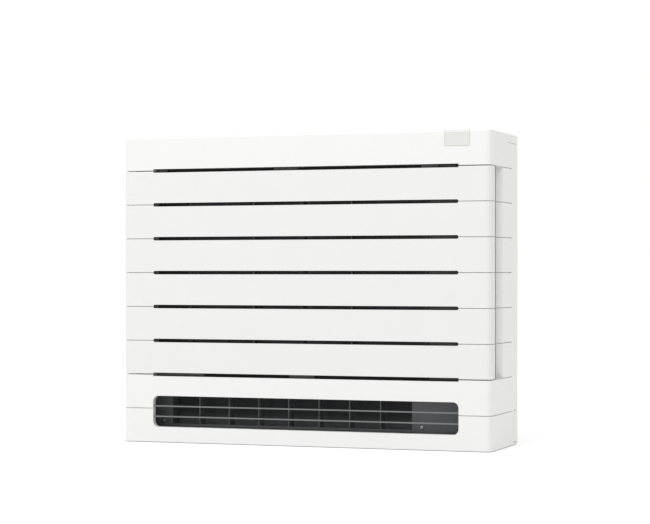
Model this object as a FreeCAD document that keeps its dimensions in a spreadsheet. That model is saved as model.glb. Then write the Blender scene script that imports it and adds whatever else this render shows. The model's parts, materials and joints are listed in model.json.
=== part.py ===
import FreeCAD, Part
import Sketcher
import math
import os
import re

# Low-wall console air conditioner, modelled at rest: panel shut, upper flap shut, lower damper shut.
# X runs to the right as one faces it, Y runs back to the wall, Z runs up from the floor. Sizes are in mm.

doc = FreeCAD.newDocument("Console")
dim = doc.addObject("Spreadsheet::Sheet", "Dim")

SIZES = [
    # casing
    ("overall_width", 750, "width of the casing"),
    ("overall_height", 600, "height from the floor to the top"),
    ("overall_depth", 238, "depth from the front to the wall"),
    ("casing_depth", 197, "depth of the white casing"),
    ("base_thickness", 0.8, "dark base plate under the casing"),
    ("base_inset", 8, "base plate set in from the casing"),
    ("band_count", 9, "equal bands up the front"),
    ("casing_wall", 2.5, "wall of the casing and the panel"),
    ("corner_radius", 12, "upright front corners"),
    ("top_edge_radius", 4, "top edges"),
    ("seam_gap", 1.6, "gap above and below the panel"),
    ("line_width", 1.4, "fine lines between the bands"),
    ("line_depth", 1.8, "depth of the fine lines"),
    ("line_rear_stop", 46, "plain part of the side behind the lines"),
    ("rear_cover_length", 73, "rear cover, front to back"),
    ("rear_cover_height", 18, "rear cover, top to seam"),
    ("rear_cover_gap", 0.6, "gap round the rear cover"),
    # front panel
    ("panel_depth", 25, "return of the panel at the sides"),
    ("panel_back_gap", 1.5, "gap behind the panel"),
    ("panel_edge_radius", 2, "top and bottom edges of the panel"),
    ("finger_inset", 14, "finger recess, depth behind the panel"),
    ("finger_channel", 30, "deep part of the finger recess, front to back"),
    ("finger_lip", 6.5, "start of the slope behind the deep part, in from the side"),
    ("finger_length", 58, "finger recess, front to back"),
    ("slit_height", 7, "air slits"),
    ("slit_margin", 63.5, "ends of the air slits in from the sides"),
    ("stay_x", 100, "upright stays behind the slits"),
    ("stay_thickness", 2.2, "upright stays behind the slits"),
    ("stay_depth", 18, "upright stays behind the slits"),
    ("hinge_inset", 4, "panel hinge, behind the front and above the lower edge"),
    ("hinge_pin_radius", 1.5, "panel hinge pins"),
    ("hinge_pin_length", 16, "panel hinge pins"),
    ("hinge_outside", 12.5, "panel hinges beyond the slit ends"),
    ("hinge_arm_width", 8, "casing arm of the panel hinge"),
    ("hinge_arm_rise", 3.2, "casing arm above the hinge"),
    ("hinge_arm_drop", 2.5, "casing arm below the hinge"),
    ("hinge_arm_nose", 3, "plain start of the arm below the hinge"),
    ("hinge_notch_margin", 1, "room beside the casing arm"),
    ("gusset_size", 9.5, "panel gussets that hold the pins"),
    ("catch_inset", 23, "panel catches in from the sides"),
    ("catch_drop", 19.5, "panel catches below the panel top"),
    ("running_gap", 0.05, "radial clearance of shafts and pins"),
    ("seat_gap", 0.02, "radial clearance of parts that stay put"),
    ("catch_width", 10, "panel catches"),
    ("catch_rise", 12, "panel catches"),
    ("catch_depth", 6.5, "panel catches"),
    # display
    ("window_width", 48, "display window"),
    ("window_margin", 42, "display window in from the right side"),
    ("window_height", 30, "display window, down from the top"),
    ("window_gap", 0.4, "gap round the display window"),
    ("window_lip", 8, "display window, turned over the top"),
    ("window_wall", 2, "display window"),
    ("window_corner_radius", 1.5, "lower corners of the display window"),
    ("board_thickness", 1.6, "circuit boards"),
    # lower outlet
    ("outlet_low", 30.3, "lower outlet above the floor"),
    ("outlet_height", 61, "lower outlet"),
    ("outlet_radius", 11, "lower outlet corners"),
    ("collar_depth", 12, "collar round the lower outlet"),
    ("collar_wall", 2, "collar round the lower outlet"),
    ("bar_height", 2.5, "outlet bars"),
    ("bar_depth", 4, "outlet bars"),
    ("bar_inset", 3, "outlet bars behind the front"),
    ("bar_end_gap", 0.1, "outlet bars to the collar"),
    ("duct_margin", 1, "duct box taller than the outlet, above and below"),
    ("duct_side_margin", 22.5, "duct box wider than the outlet at each side"),
    ("duct_wall", 2.5, "moulded ducts"),
    ("mouth_inset", 60, "duct mouth behind the front"),
    ("mouth_end_wall", 62.5, "half of what the duct mouth is narrower than the outlet"),
    ("mouth_shift", 46.5, "duct mouth left of the middle"),
    ("mouth_sill", 3.5, "duct mouth above the duct floor"),
    ("duct_rear_margin", 2.5, "rear duct wider than its mouth"),
    ("duct_length", 109, "lower duct behind its mouth"),
    ("duct_port", 57, "opening up to the fan chamber"),
    ("rib_thickness", 2, "upright ribs in the duct mouth"),
    ("rib_depth", 27, "upright ribs in the duct mouth"),
    ("rib_shift", 2.5, "middle rib left of the middle of the duct mouth"),
    ("damper_setback", 37, "damper hinge behind the duct mouth"),
    ("damper_drop", 5.3, "damper hinge below the duct ceiling"),
    ("damper_thickness", 2, "damper"),
    ("damper_gap", 1, "damper to the duct"),
    ("pivot_radius", 2, "pivot pins of damper and louvers"),
    ("small_motor_radius", 12, "damper motor"),
    ("small_motor_length", 20, "damper motor"),
    ("flap_side_margin", 114, "upper flap in from the sides"),
    ("flap_setback", 34, "upper flap behind the front"),
    ("flap_length", 76, "upper flap, front edge to hinge"),
    # upper outlet
    ("flap_nose_radius", 5, "rolled rear edge of the flap"),
    ("flap_thickness", 2.5, "upper flap"),
    ("flap_gap", 1, "gap round the flap"),
    ("flap_cheek", 2.5, "end cheeks of the flap"),
    ("flap_pin_radius", 1.5, "flap pins"),
    ("flap_rib_depth", 6, "stiffening rib under the flap"),
    ("upper_duct_margin", 1, "upper duct wider than the opening"),
    ("upper_duct_height", 75.5, "upper duct"),
    ("rail_width", 14, "rail that carries the louvers"),
    ("rail_height", 4, "rail that carries the louvers"),
    ("rail_lift", 2, "rail above the duct's lower edge"),
    ("louver_setback", 27, "louver pivots ahead of the opening's rear edge"),
    ("louver_front", 32, "louver ahead of its pivot"),
    ("louver_rear", 19, "louver behind its pivot"),
    ("louver_thickness", 1.8, "louvers"),
    ("louver_rise", 52, "louvers"),
    ("louver_lift", 3, "louvers above the rail"),
    ("crank_radius", 16, "louver crank"),
    ("crank_pin_radius", 1.5, "louver crank pin"),
    ("link_width", 11, "link between the louvers"),
    ("link_height", 2, "link between the louvers"),
    ("link_slot_side", 0.25, "crank pin to the sides of its slot"),
    ("link_slot_length", 7, "slot for the crank pin"),
    ("louver_motor_radius", 9.5, "louver motor"),
    ("louver_motor_length", 16, "louver motor"),
    ("flap_motor_length", 17, "flap gearbox"),
    ("flap_motor_depth", 24, "flap gearbox"),
    ("flap_motor_drop", 26, "flap gearbox"),
    # intake
    ("filter_split", 4, "filters out from the middle"),
    ("filter_rise", 26, "filters above the panel's lower edge"),
    ("filter_drop", 20.5, "filters below the panel's top edge"),
    ("filter_depth", 4, "filters"),
    ("filter_end_space", 65.5, "filters short of the slit ends"),
    ("filter_border", 8, "filter frame"),
    ("filter_bar", 2, "filter bars"),
    ("mesh_thickness", 0.6, "filter mesh"),
    ("surround_thickness", 1, "dark sheet round the filters"),
    ("surround_gap", 0.4, "dark sheet to the filters and the slit ends"),
    ("latch_depth", 7.5, "filter latches"),
    ("latch_clearance", 0.2, "filter latches to the filters"),
    ("latch_end_gap", 1.5, "outer latches to the slit ends"),
    ("latch_outer_width", 19, "upper left latch"),
    ("latch_middle_x", -39.5, "upper middle latch"),
    ("latch_middle_width", 51, "upper middle latch"),
    ("latch_right_x", 250, "upper right latch"),
    ("latch_right_width", 32, "upper right latch"),
    ("rest_outer_width", 100, "lower left rest"),
    ("rest_middle_x", -7, "lower middle rest"),
    ("rest_middle_width", 52, "lower middle rest"),
    ("cartridge_width", 150, "deodorising cartridges"),
    ("cartridge_height", 60, "deodorising cartridges"),
    ("cartridge_depth", 3, "deodorising cartridges"),
    ("fin_end_space", 75.5, "fin pack short of the slit ends"),
    # heat exchanger
    ("fin_depth", 36, "fin pack, front to back"),
    ("fin_lift", 2, "fin pack above the drain pan"),
    ("fin_drop", 26, "fin pack below the recess top"),
    ("fin_front_gap", 4, "fin pack behind the casing wall"),
    ("fin_pitch", 12, "fins"),
    ("fin_thickness", 1.2, "fins"),
    ("fin_core", 3, "core that joins the fins"),
    ("end_plate", 1.2, "end plates of the heat exchanger"),
    ("end_plate_margin", 1, "end plates beyond the fins"),
    ("column_pitch", 18, "coil tubes, front to back"),
    ("tube_radius", 3.5, "coil tubes"),
    ("gas_radius", 4.76, "gas pipe, three eighths of an inch"),
    ("liquid_radius", 3.175, "liquid pipe, a quarter of an inch"),
    ("pipe_bend", 20, "pipe bends"),
    ("gas_inset", 22.5, "gas pipe in from the left side"),
    ("liquid_inset", 34, "liquid pipe in from the left side"),
    ("pipe_reach", 147, "pipe ends behind the front"),
    ("gas_low", 120, "gas pipe run to the rear"),
    ("pipe_notch_margin", 22, "notch in the rear flange above and below the pipes"),
    ("liquid_low", 90, "liquid pipe run to the rear"),
    ("gas_hex", 11, "gas union, half across flats"),
    ("liquid_hex", 8.5, "liquid union, half across flats"),
    ("gas_thread", 7.9, "gas union thread radius"),
    ("liquid_thread", 5.55, "liquid union thread radius"),
    ("union_hex_length", 14, "union hexagon"),
    ("union_thread_length", 14, "union thread"),
    ("pan_height", 24, "drain pan"),
    ("pan_rise", 13.5, "drain pan above the recess floor"),
    ("pan_end_space", 10, "drain pan beyond the fins"),
    ("pan_floor", 4, "drain pan floor"),
    ("pan_wall", 2.5, "drain pan walls"),
    ("spout_radius", 9, "drain spout"),
    ("spout_bore", 7, "drain spout bore radius"),
    ("spout_length", 30, "drain spout"),
    # fan
    ("bell_plate", 2.5, "bell mouth plate"),
    ("coil_space", 46.5, "space for the coil between casing wall and bell mouth"),
    ("bell_foot_gap", 4, "bell mouth plate above the lower duct"),
    ("bell_head_gap", 3, "bell mouth plate below the upper duct"),
    ("bell_radius", 136, "bell mouth throat"),
    ("bell_flare", 10, "bell mouth flare"),
    ("bell_lip", 13, "bell mouth lip behind the plate"),
    ("fan_radius", 175, "fan"),
    ("fan_setback", 7, "fan inlet ring behind the bell mouth plate"),
    ("fan_inlet_length", 18, "fan inlet ring"),
    ("fan_width", 38, "fan front ring to hub plate"),
    ("hub_dish", 28, "hub nose ahead of the hub plate"),
    ("fan_inlet_gap", 2, "fan inlet ring round the bell mouth lip"),
    ("fan_plate", 2.5, "fan walls"),
    ("hub_cone_outer", 78, "hub cone at the plate"),
    ("hub_cone_inner", 62, "hub cone at the nose"),
    ("hub_boss_radius", 12, "hub boss"),
    ("hub_boss_length", 8, "hub boss"),
    ("blade_count", 9, "fan blades"),
    ("blade_inner", 108, "fan blades, inner end"),
    ("blade_outer", 172, "fan blades, outer end"),
    ("blade_sweep", 38, "fan blades, angle from inner to outer end"),
    ("blade_curve", 90, "fan blades, radius of the curve"),
    ("blade_thickness", 3, "fan blades"),
    ("shaft_radius", 4, "motor shaft"),
    ("shaft_nose", 14, "motor shaft ahead of the hub nose"),
    ("shaft_tail", 1.5, "motor shaft behind the motor"),
    ("nut_flats", 13, "fan nut across flats"),
    ("nut_height", 8, "fan nut"),
    ("motor_radius", 50, "fan motor"),
    ("motor_setback", 16, "fan motor behind the hub nose"),
    ("motor_length", 50, "fan motor"),
    ("motor_nose_radius", 15, "fan motor nose"),
    ("motor_nose", 6, "fan motor nose"),
    ("motor_rim", 3, "rim round the fan motor"),
    ("bracket_half", 75, "motor bracket"),
    ("bracket_thickness", 2.5, "motor bracket"),
    ("bracket_hole", 22, "motor bracket, middle hole"),
    ("bolt_offset", 60, "motor bolts from the axis"),
    ("bolt_radius", 2.5, "motor bolts"),
    ("bolt_head_radius", 4.5, "motor bolts"),
    ("bolt_head", 2.5, "motor bolts"),
    ("bolt_length", 18, "motor bolts"),
    ("mount_radius", 9, "rubber mounts"),
    ("mount_height", 4, "rubber mounts"),
    # rear frame and wall plate
    ("frame_wall", 2.5, "rear frame walls"),
    ("frame_side_inset", 45, "rear frame in from the sides"),
    ("frame_top_gap", 9.5, "rear frame below the casing's rear step"),
    ("frame_back", 3, "rear frame back wall"),
    ("flange_inset", 3, "rear flange inside the casing's rear edge"),
    ("flange_thickness", 3, "rear flange"),
    ("flange_gap", 0.25, "rear flange to the casing"),
    ("plate_half_width", 230, "wall plate"),
    ("plate_drop", 70, "wall plate below the rear frame top"),
    ("plate_height", 120, "wall plate"),
    ("plate_thickness", 1.5, "wall plate"),
    ("plate_gap", 0.25, "gap round the wall plate"),
    ("wall_bolt_x", 400, "wall screws, side to side"),
    ("wall_bolt_z", 80, "wall screws, up and down"),
    ("wall_bolt_radius", 2.75, "wall screw holes"),
    ("wall_access_radius", 8, "openings to reach the wall screws"),
    ("hook_x", 150, "wall plate hooks"),
    ("hook_width", 30, "wall plate hooks"),
    ("hook_reach", 7, "wall plate hooks"),
    ("hook_slot_gap", 0.3, "room round the hooks"),
    ("field_depth", 1.2, "sunk fields in the back"),
    ("field_margin", 50, "sunk fields in from the sides of the rear frame"),
    ("field_low", 40, "sunk fields above the floor"),
    ("field_drop", 40, "sunk fields below the wall plate"),
    ("field_gap", 10, "ribs between the sunk fields"),
    ("field_radius", 6, "corners of the sunk fields"),
    # pipe covers
    ("knockout_length", 29, "pipe covers, front to back"),
    ("knockout_low", 5, "pipe covers above the floor"),
    ("knockout_height", 63, "pipe covers"),
    ("knockout_gap", 1.2, "gap round the pipe covers"),
    ("tie_hole_radius", 1.5, "holes at the rear edge of the sides"),
    ("tie_hole_height", 78.7, "holes at the rear edge of the sides"),
    # electrics
    ("box_width", 72, "electrical box"),
    ("box_depth", 40.5, "electrical box"),
    ("box_side_gap", 6, "electrical box beside the return bends"),
    ("box_rise", 30, "electrical box above the drain pan floor"),
    ("box_drop", 34, "electrical box below the recess top"),
    ("box_wall", 1.2, "electrical box sheet"),
    ("standoff_radius", 4, "board posts"),
    ("standoff_height", 13, "board posts"),
    ("board_margin", 6, "board inside the box"),
    ("board_height", 220, "control board"),
    ("terminal_height", 30, "terminal block"),
    ("terminal_depth", 25, "terminal block"),
    ("button_radius", 5, "on and off button"),
    ("button_drop", 54, "on and off button below the recess top"),
    ("button_inset", 75, "on and off button in from the right side"),
    ("button_proud", 2, "on and off button ahead of the wall"),
    ("button_flange_radius", 6.5, "on and off button flange"),
    ("button_flange", 1.2, "on and off button flange"),
    ("switch_height", 2.2, "switch behind the button"),
    ("switch_width", 20, "switch behind the button"),
    # screws
    ("screw_radius", 2, "case screws"),
    ("screw_head_radius", 4, "case screws"),
    ("screw_head", 2, "case screws"),
    ("screw_length", 6, "case screws"),
    ("screw_inset", 30, "case screws in from the sides"),
    ("screw_rise", 27.5, "lower case screws above the recess floor"),
    ("screw_drop", 44, "upper case screws below the recess top"),
    ("duct_screw_side", 19.5, "duct screws beyond the duct mouth"),
    ("duct_screw_rise", 8.7, "duct screws above the duct floor"),
]

NAMES = set()
for row, (name, number, meaning) in enumerate(SIZES, 1):
    dim.set(f"A{row}", meaning)
    dim.set(f"B{row}", str(number))
    dim.setAlias(f"B{row}", name)
    NAMES.add(name)
doc.recompute()

# Places and sizes that follow from the ones above.
PLACES = {
    "half_width": "overall_width / 2",
    "front": "-overall_depth / 2",
    "wall_face": "overall_depth / 2",
    "casing_back": "front + casing_depth",
    "pitch": "overall_height / band_count",
    "panel_top": "overall_height - pitch - seam_gap / 2",
    "panel_bottom": "overall_height - 7 * pitch + seam_gap / 2",
    "panel_back": "front + panel_depth",
    "recess_top": "panel_top + seam_gap",
    "recess_bottom": "panel_bottom - seam_gap",
    "recess_face": "panel_back + panel_back_gap",
    "recess_back": "recess_face + casing_wall",
    "surround_face": "recess_face - surround_thickness",
    "front_inner": "front + casing_wall",
    "top_inner": "overall_height - casing_wall",
    "floor_top": "base_thickness + casing_wall",
    "slit_bite": "(slit_height - seam_gap) / 2",
    "step_front": "casing_back - rear_cover_length",
    "step_floor": "overall_height - rear_cover_height",
    "hinge_y": "front + hinge_inset",
    "hinge_z": "panel_bottom + hinge_inset",
    "outlet_top": "outlet_low + outlet_height",
    "collar_back": "front + collar_depth",
    "duct_half": "slit_half + duct_side_margin",
    "duct_floor": "outlet_low - duct_margin",
    "duct_ceiling": "outlet_top + duct_margin",
    "mouth_face": "front + mouth_inset",
    "mouth_back": "mouth_face + duct_wall",
    "rear_duct_half": "mouth_half + duct_rear_margin",
    "damper_z": "duct_ceiling - damper_drop",
    "flap_axis_z": "overall_height - flap_nose_radius",
    "flap_back": "flap_axis_y + flap_nose_radius",
    "opening_half": "flap_half_length + flap_gap",
    "opening_front": "flap_front - flap_gap",
    "opening_back": "flap_back + flap_gap",
    "upper_duct_half": "opening_half + upper_duct_margin",
    "rail_low": "upper_duct_low + rail_lift",
    "rail_top": "rail_low + rail_height",
    "louver_low": "rail_top + louver_lift",
    "crank_y": "louver_y + crank_radius",
    "link_low": "louver_low - link_height - 0.5",
    "fin_front": "recess_back + fin_front_gap",
    "fin_back": "fin_front + fin_depth",
    "fin_top": "fin_low + fin_height",
    "pan_inner_floor": "pan_low + pan_floor",
    "end_face": "fin_half_length + end_plate",
    "column_front": "fin_front + (fin_depth - column_pitch) / 2",
    "row_first": "fin_low + row_pitch / 2",
    "row_last": "row_first + 7 * row_pitch",
    "bell_back": "bell_front + bell_plate",
    "bell_lip_outer": "bell_radius + fan_plate",
    "fan_inlet": "bell_lip_outer + fan_inlet_gap",
    "bracket_back": "motor_rear + bracket_thickness",
    "boss_top": "bracket_back + mount_height",
    "frame_inner": "wall_face - frame_back",
    "plate_face": "wall_face - plate_thickness",
    "plate_top": "plate_low + plate_height",
    "field_half": "frame_half_width - field_margin",
    "field_top": "plate_low - field_drop",
    "plate_middle": "plate_low + plate_height / 2",
    "box_right": "box_left + box_width",
    "box_top": "box_low + box_height",
    "box_back": "bell_front",
    "box_front": "box_back - box_depth",
    "cover_front": "box_front - box_wall",
    "board_back": "box_back - box_wall - standoff_height",
    "knockout_front": "casing_back - knockout_length",
    "knockout_top": "knockout_low + knockout_height",
    "slit_half": "half_width - slit_margin",
    "hinge_x": "slit_half + hinge_outside",
    "catch_x": "half_width - catch_inset",
    "catch_height": "panel_top - catch_drop",
    "window_left": "half_width - window_margin - window_width",
    "mouth_half": "slit_half - mouth_end_wall",
    "rib_pitch": "(mouth_half + rib_thickness) / 4",
    "duct_end": "mouth_face + duct_length",
    "damper_y": "mouth_face + damper_setback",
    "flap_half_length": "half_width - flap_side_margin",
    "flap_front": "front + flap_setback",
    "flap_axis_y": "flap_front + flap_length",
    "upper_duct_low": "top_inner - upper_duct_height",
    "louver_pitch": "upper_duct_half * 2 / 8.5",
    "louver_y": "opening_back - louver_setback",
    "filter_low": "panel_bottom + filter_rise",
    "filter_height": "panel_top - filter_drop - filter_low",
    "filter_half": "(slit_half - filter_end_space - filter_split) / 2",
    "cartridge_low": "filter_low + (filter_height - cartridge_height) / 2",
    "fin_half_length": "slit_half - fin_end_space",
    "fin_low": "pan_low + pan_height + fin_lift",
    "fin_height": "recess_top - fin_drop - fin_low",
    "row_pitch": "fin_height / 8",
    "gas_x": "-half_width + gas_inset",
    "liquid_x": "-half_width + liquid_inset",
    "pipe_end": "front + pipe_reach",
    "pan_half_length": "fin_half_length + pan_end_space",
    "pan_low": "recess_bottom + pan_rise",
    "bell_front": "recess_back + coil_space",
    "bell_low": "duct_ceiling + duct_wall + bell_foot_gap",
    "bell_top": "upper_duct_low - bell_head_gap",
    "fan_height": "(bell_low + bell_top) / 2",
    "fan_front": "bell_back + fan_setback",
    "fan_ring_y": "fan_front + fan_inlet_length",
    "fan_hub_y": "fan_ring_y + fan_width",
    "hub_nose_y": "fan_hub_y - hub_dish",
    "shaft_front": "hub_nose_y - shaft_nose",
    "shaft_rear": "motor_rear + shaft_tail",
    "motor_front": "hub_nose_y + motor_setback",
    "motor_rear": "motor_front + motor_length",
    "frame_half_width": "half_width - frame_side_inset",
    "frame_top": "step_floor - casing_wall - frame_top_gap",
    "plate_low": "frame_top - plate_drop - plate_height",
    "box_left": "end_face + row_pitch / 2 + tube_radius + box_side_gap",
    "box_low": "pan_low + box_rise",
    "box_height": "recess_top - box_drop - box_low",
    "button_x": "half_width - button_inset",
    "button_height": "recess_top - button_drop",
    "screw_x": "half_width - screw_inset",
    "screw_low": "recess_bottom + screw_rise",
    "screw_high": "recess_top - screw_drop",
    "duct_screw_x": "mouth_half + duct_screw_side",
    "duct_screw_height": "duct_floor + duct_screw_rise",
}


def spell(text):
    """Spell a size in words as an expression on the sheet's cells."""

    def word(match):
        name = match.group()
        if name in PLACES:
            return "(" + spell(PLACES[name]) + ")"
        if name in NAMES:
            return "Dim." + name
        return name

    return re.sub(r"[a-z][a-z_]*", word, str(text))


def value(text):
    """Today's number for a size in words."""
    return float(dim.evalExpression(spell(text)))


def bind(thing, prop, text):
    """Bind one property of an object to the sheet."""
    thing.setExpression(prop, spell(text))


PIECES = []


def new_body(label):
    """Start a piece that is handed on under this name."""
    body = doc.addObject("PartDesign::Body", label)
    body.Label = label
    PIECES.append(body)
    return body


def sketch_on(body, plane, place):
    """A sketch parallel to one of the body's origin planes, at a place along the plane's axis."""
    sketch = body.newObject("Sketcher::SketchObject", body.Name + "_sketch")
    role = plane + "_Plane"
    support = [item for item in body.Origin.OriginFeatures if item.Role == role][0]
    sketch.AttachmentSupport = [(support, "")]
    sketch.MapMode = "FlatFace"
    offset = f"-({place})" if plane == "XZ" else place
    bind(sketch, "AttachmentOffset.Base.z", offset)
    return sketch


def hold_point(rules, geometry, end, across, up):
    """Tie one end of a sketch element to its two coordinates."""
    for kind, text in (("DistanceX", across), ("DistanceY", up)):
        rules.append((Sketcher.Constraint(kind, -1, 1, geometry, end, value(text)), text))


def hold_radius(rules, geometry, radius):
    """Tie a circle or an arc to its radius."""
    rules.append((Sketcher.Constraint("Radius", geometry, value(radius)), radius))


def circle(sketch, rules, across, up, radius):
    """Draw one circle."""
    centre = FreeCAD.Vector(value(across), value(up), 0)
    geometry = sketch.addGeometry(Part.Circle(centre, FreeCAD.Vector(0, 0, 1), value(radius)))
    hold_radius(rules, geometry, radius)
    hold_point(rules, geometry, 3, across, up)


def arc_between(start, stop, radius, side):
    """The short arc from start to stop; side 1 bulges to the right of the way along it, -1 to the left."""
    chord = stop - start
    middle = (start + stop) * 0.5
    sag = radius - math.sqrt(max(radius * radius - chord.Length * chord.Length / 4, 0))
    away = FreeCAD.Vector(chord.y, -chord.x, 0).normalize()
    return Part.Arc(start, middle + away * (sag * side), stop)


def outline(sketch, rules, corners):
    """Draw a closed outline from its corners, in order.

    A corner is (across, up), (across, up, radius) for a rounded right angle, or
    (across, up, radius, side) where the stretch that leads to it is an arc.
    """
    points = []
    count = len(corners)
    for index, corner in enumerate(corners):
        across, up = corner[0], corner[1]
        if len(corner) != 3:
            bend = corner[2:] if len(corner) == 4 else None
            points.append((across, up, bend))
            continue
        here = FreeCAD.Vector(value(across), value(up), 0)
        for other, bend in ((corners[index - 1], None), (corners[(index + 1) % count], "corner")):
            there = FreeCAD.Vector(value(other[0]), value(other[1]), 0)
            way = (there - here).normalize()
            near_across = f"({across}) + {round(way.x)} * ({corner[2]})"
            near_up = f"({up}) + {round(way.y)} * ({corner[2]})"
            points.append((near_across, near_up, (corner[2], bend) if bend else None))
    places = [FreeCAD.Vector(value(p[0]), value(p[1]), 0) for p in points]
    made = []
    for index, point in enumerate(points):
        start, stop = places[index - 1], places[index]
        if point[2] is None:
            made.append((sketch.addGeometry(Part.LineSegment(start, stop)), 1, 2))
            continue
        radius, side = point[2]
        if side == "corner":
            before = places[index - 1] - places[index - 2]
            turn = before.cross(stop - start).z
            side = 1 if turn > 0 else -1
        arc = sketch.addGeometry(arc_between(start, stop, value(radius), side))
        hold_radius(rules, arc, radius)
        first = sketch.getPoint(arc, 1)
        ends = (1, 2) if (first - start).Length < (first - stop).Length else (2, 1)
        made.append((arc, *ends))
    for index, point in enumerate(points):
        geometry, _, end = made[index]
        following, begin, _ = made[(index + 1) % len(made)]
        rules.append((Sketcher.Constraint("Coincident", geometry, end, following, begin), None))
        hold_point(rules, geometry, end, point[0], point[1])


def rectangle(left, right, low, high, radius=None):
    """The corners of an upright rectangle, rounded if a radius is given."""
    corners = [(left, low), (right, low), (right, high), (left, high)]
    return [corner + (radius,) for corner in corners] if radius else corners


def draw(sketch, loops):
    """Draw closed loops; a loop that starts with the word circle is one."""
    rules = []
    for loop in loops:
        if loop[0] == "circle":
            circle(sketch, rules, *loop[1:])
        else:
            outline(sketch, rules, loop)
    indices = sketch.addConstraint([rule for rule, text in rules])
    for index, (rule, text) in zip(indices, rules):
        if text is not None:
            bind(sketch, f"Constraints[{index}]", text)


def prism(body, kind, plane, loops, start, end):
    """Add or take away the loops' area between two places along the plane's axis."""
    sketch = sketch_on(body, plane, start)
    draw(sketch, loops)
    feature = body.newObject("PartDesign::" + kind, body.Name + "_" + kind.lower())
    feature.Profile = sketch
    bind(feature, "Length", f"({end}) - ({start})")
    feature.Reversed = (plane == "XZ") == (kind == "Pad")
    doc.recompute()
    return feature


def pad(body, plane, loops, start, end):
    """Add a prism."""
    return prism(body, "Pad", plane, loops, start, end)


def pocket(body, plane, loops, start, end):
    """Take away a prism."""
    before = body.Shape.Volume
    feature = prism(body, "Pocket", plane, loops, start, end)
    if body.Shape.Volume >= before - 1e-6:
        raise RuntimeError(body.Label + ": a pocket took nothing away")
    return feature


def turned(body, loop):
    """Turn an outline given as (place along Y, radius) about the body's own Y axis."""
    sketch = sketch_on(body, "YZ", "0")
    draw(sketch, [loop])
    feature = body.newObject("PartDesign::Revolution", body.Name + "_turned")
    feature.Profile = sketch
    feature.ReferenceAxis = (sketch, ["H_Axis"])
    feature.Angle = 360
    doc.recompute()
    return feature


def edges_where(shape, chosen):
    """Names of the edges that the rule picks by their middle and direction."""
    names = []
    for index, edge in enumerate(shape.Edges, 1):
        middle = edge.valueAt((edge.FirstParameter + edge.LastParameter) / 2)
        way = edge.tangentAt((edge.FirstParameter + edge.LastParameter) / 2)
        if chosen(middle, way):
            names.append(f"Edge{index}")
    return names


def fillet(body, radius, chosen):
    """Round the chosen edges of the piece so far."""
    tip = body.Tip
    feature = body.newObject("PartDesign::Fillet", body.Name + "_fillet")
    feature.Base = (tip, edges_where(tip.Shape, chosen))
    bind(feature, "Radius", radius)
    doc.recompute()
    return feature


def hollow(body, wall, chosen):
    """Hollow the piece to a wall, leaving the chosen flat faces open."""
    tip = body.Tip
    names = []
    for index, face in enumerate(tip.Shape.Faces, 1):
        if chosen(face.BoundBox):
            names.append(f"Face{index}")
    feature = body.newObject("PartDesign::Thickness", body.Name + "_hollow")
    feature.Base = (tip, names)
    bind(feature, "Value", wall)
    feature.Reversed = True
    doc.recompute()
    return feature


def repeat(body, feature, kind, axis_role, count, length=None):
    """Repeat a feature along or about one of the body's own axes."""
    pattern = body.newObject(kind, body.Name + "_pattern")
    pattern.Originals = [feature]
    axis = [item for item in body.Origin.OriginFeatures if item.Role == axis_role][0]
    body.Tip = pattern
    if length is None:
        pattern.Axis = (axis, [""])
        pattern.Angle = 360
    else:
        pattern.Direction = (axis, [""])
        bind(pattern, "Length", length)
    bind(pattern, "Occurrences", count)
    doc.recompute()
    return pattern


def near(number, text):
    """Whether a coordinate is at a place."""
    return abs(number - value(text)) < 0.01


def place(body, across="0", back="0", up="0"):
    """Set the piece down at a place."""
    bind(body, "Placement.Base.x", across)
    bind(body, "Placement.Base.y", back)
    bind(body, "Placement.Base.z", up)


def band_line(number):
    """Height of the line under a band, counted from the top."""
    return f"overall_height - {number} * pitch"


def both_sides(start, end):
    """A stretch to the right of the middle and its mirror image on the left."""
    return [(start, end), (f"-({end})", f"-({start})")]


def about_mouth(half):
    """Left and right end of a stretch centred on the duct mouth, which sits left of the middle."""
    return f"-mouth_shift - ({half})", f"-mouth_shift + ({half})"


def line_loop(back_end):
    """A thin strip that follows the front and both sides, for the fine lines."""
    outer = "half_width + 5"
    inner = "half_width - line_depth"
    radius = "corner_radius - line_depth"
    return [
        (f"-({outer})", back_end),
        (f"-({outer})", "front - 5"),
        (outer, "front - 5"),
        (outer, back_end),
        (inner, back_end),
        (inner, "front + line_depth", radius),
        (f"-({inner})", "front + line_depth", radius),
        (f"-({inner})", back_end),
    ]


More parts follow.
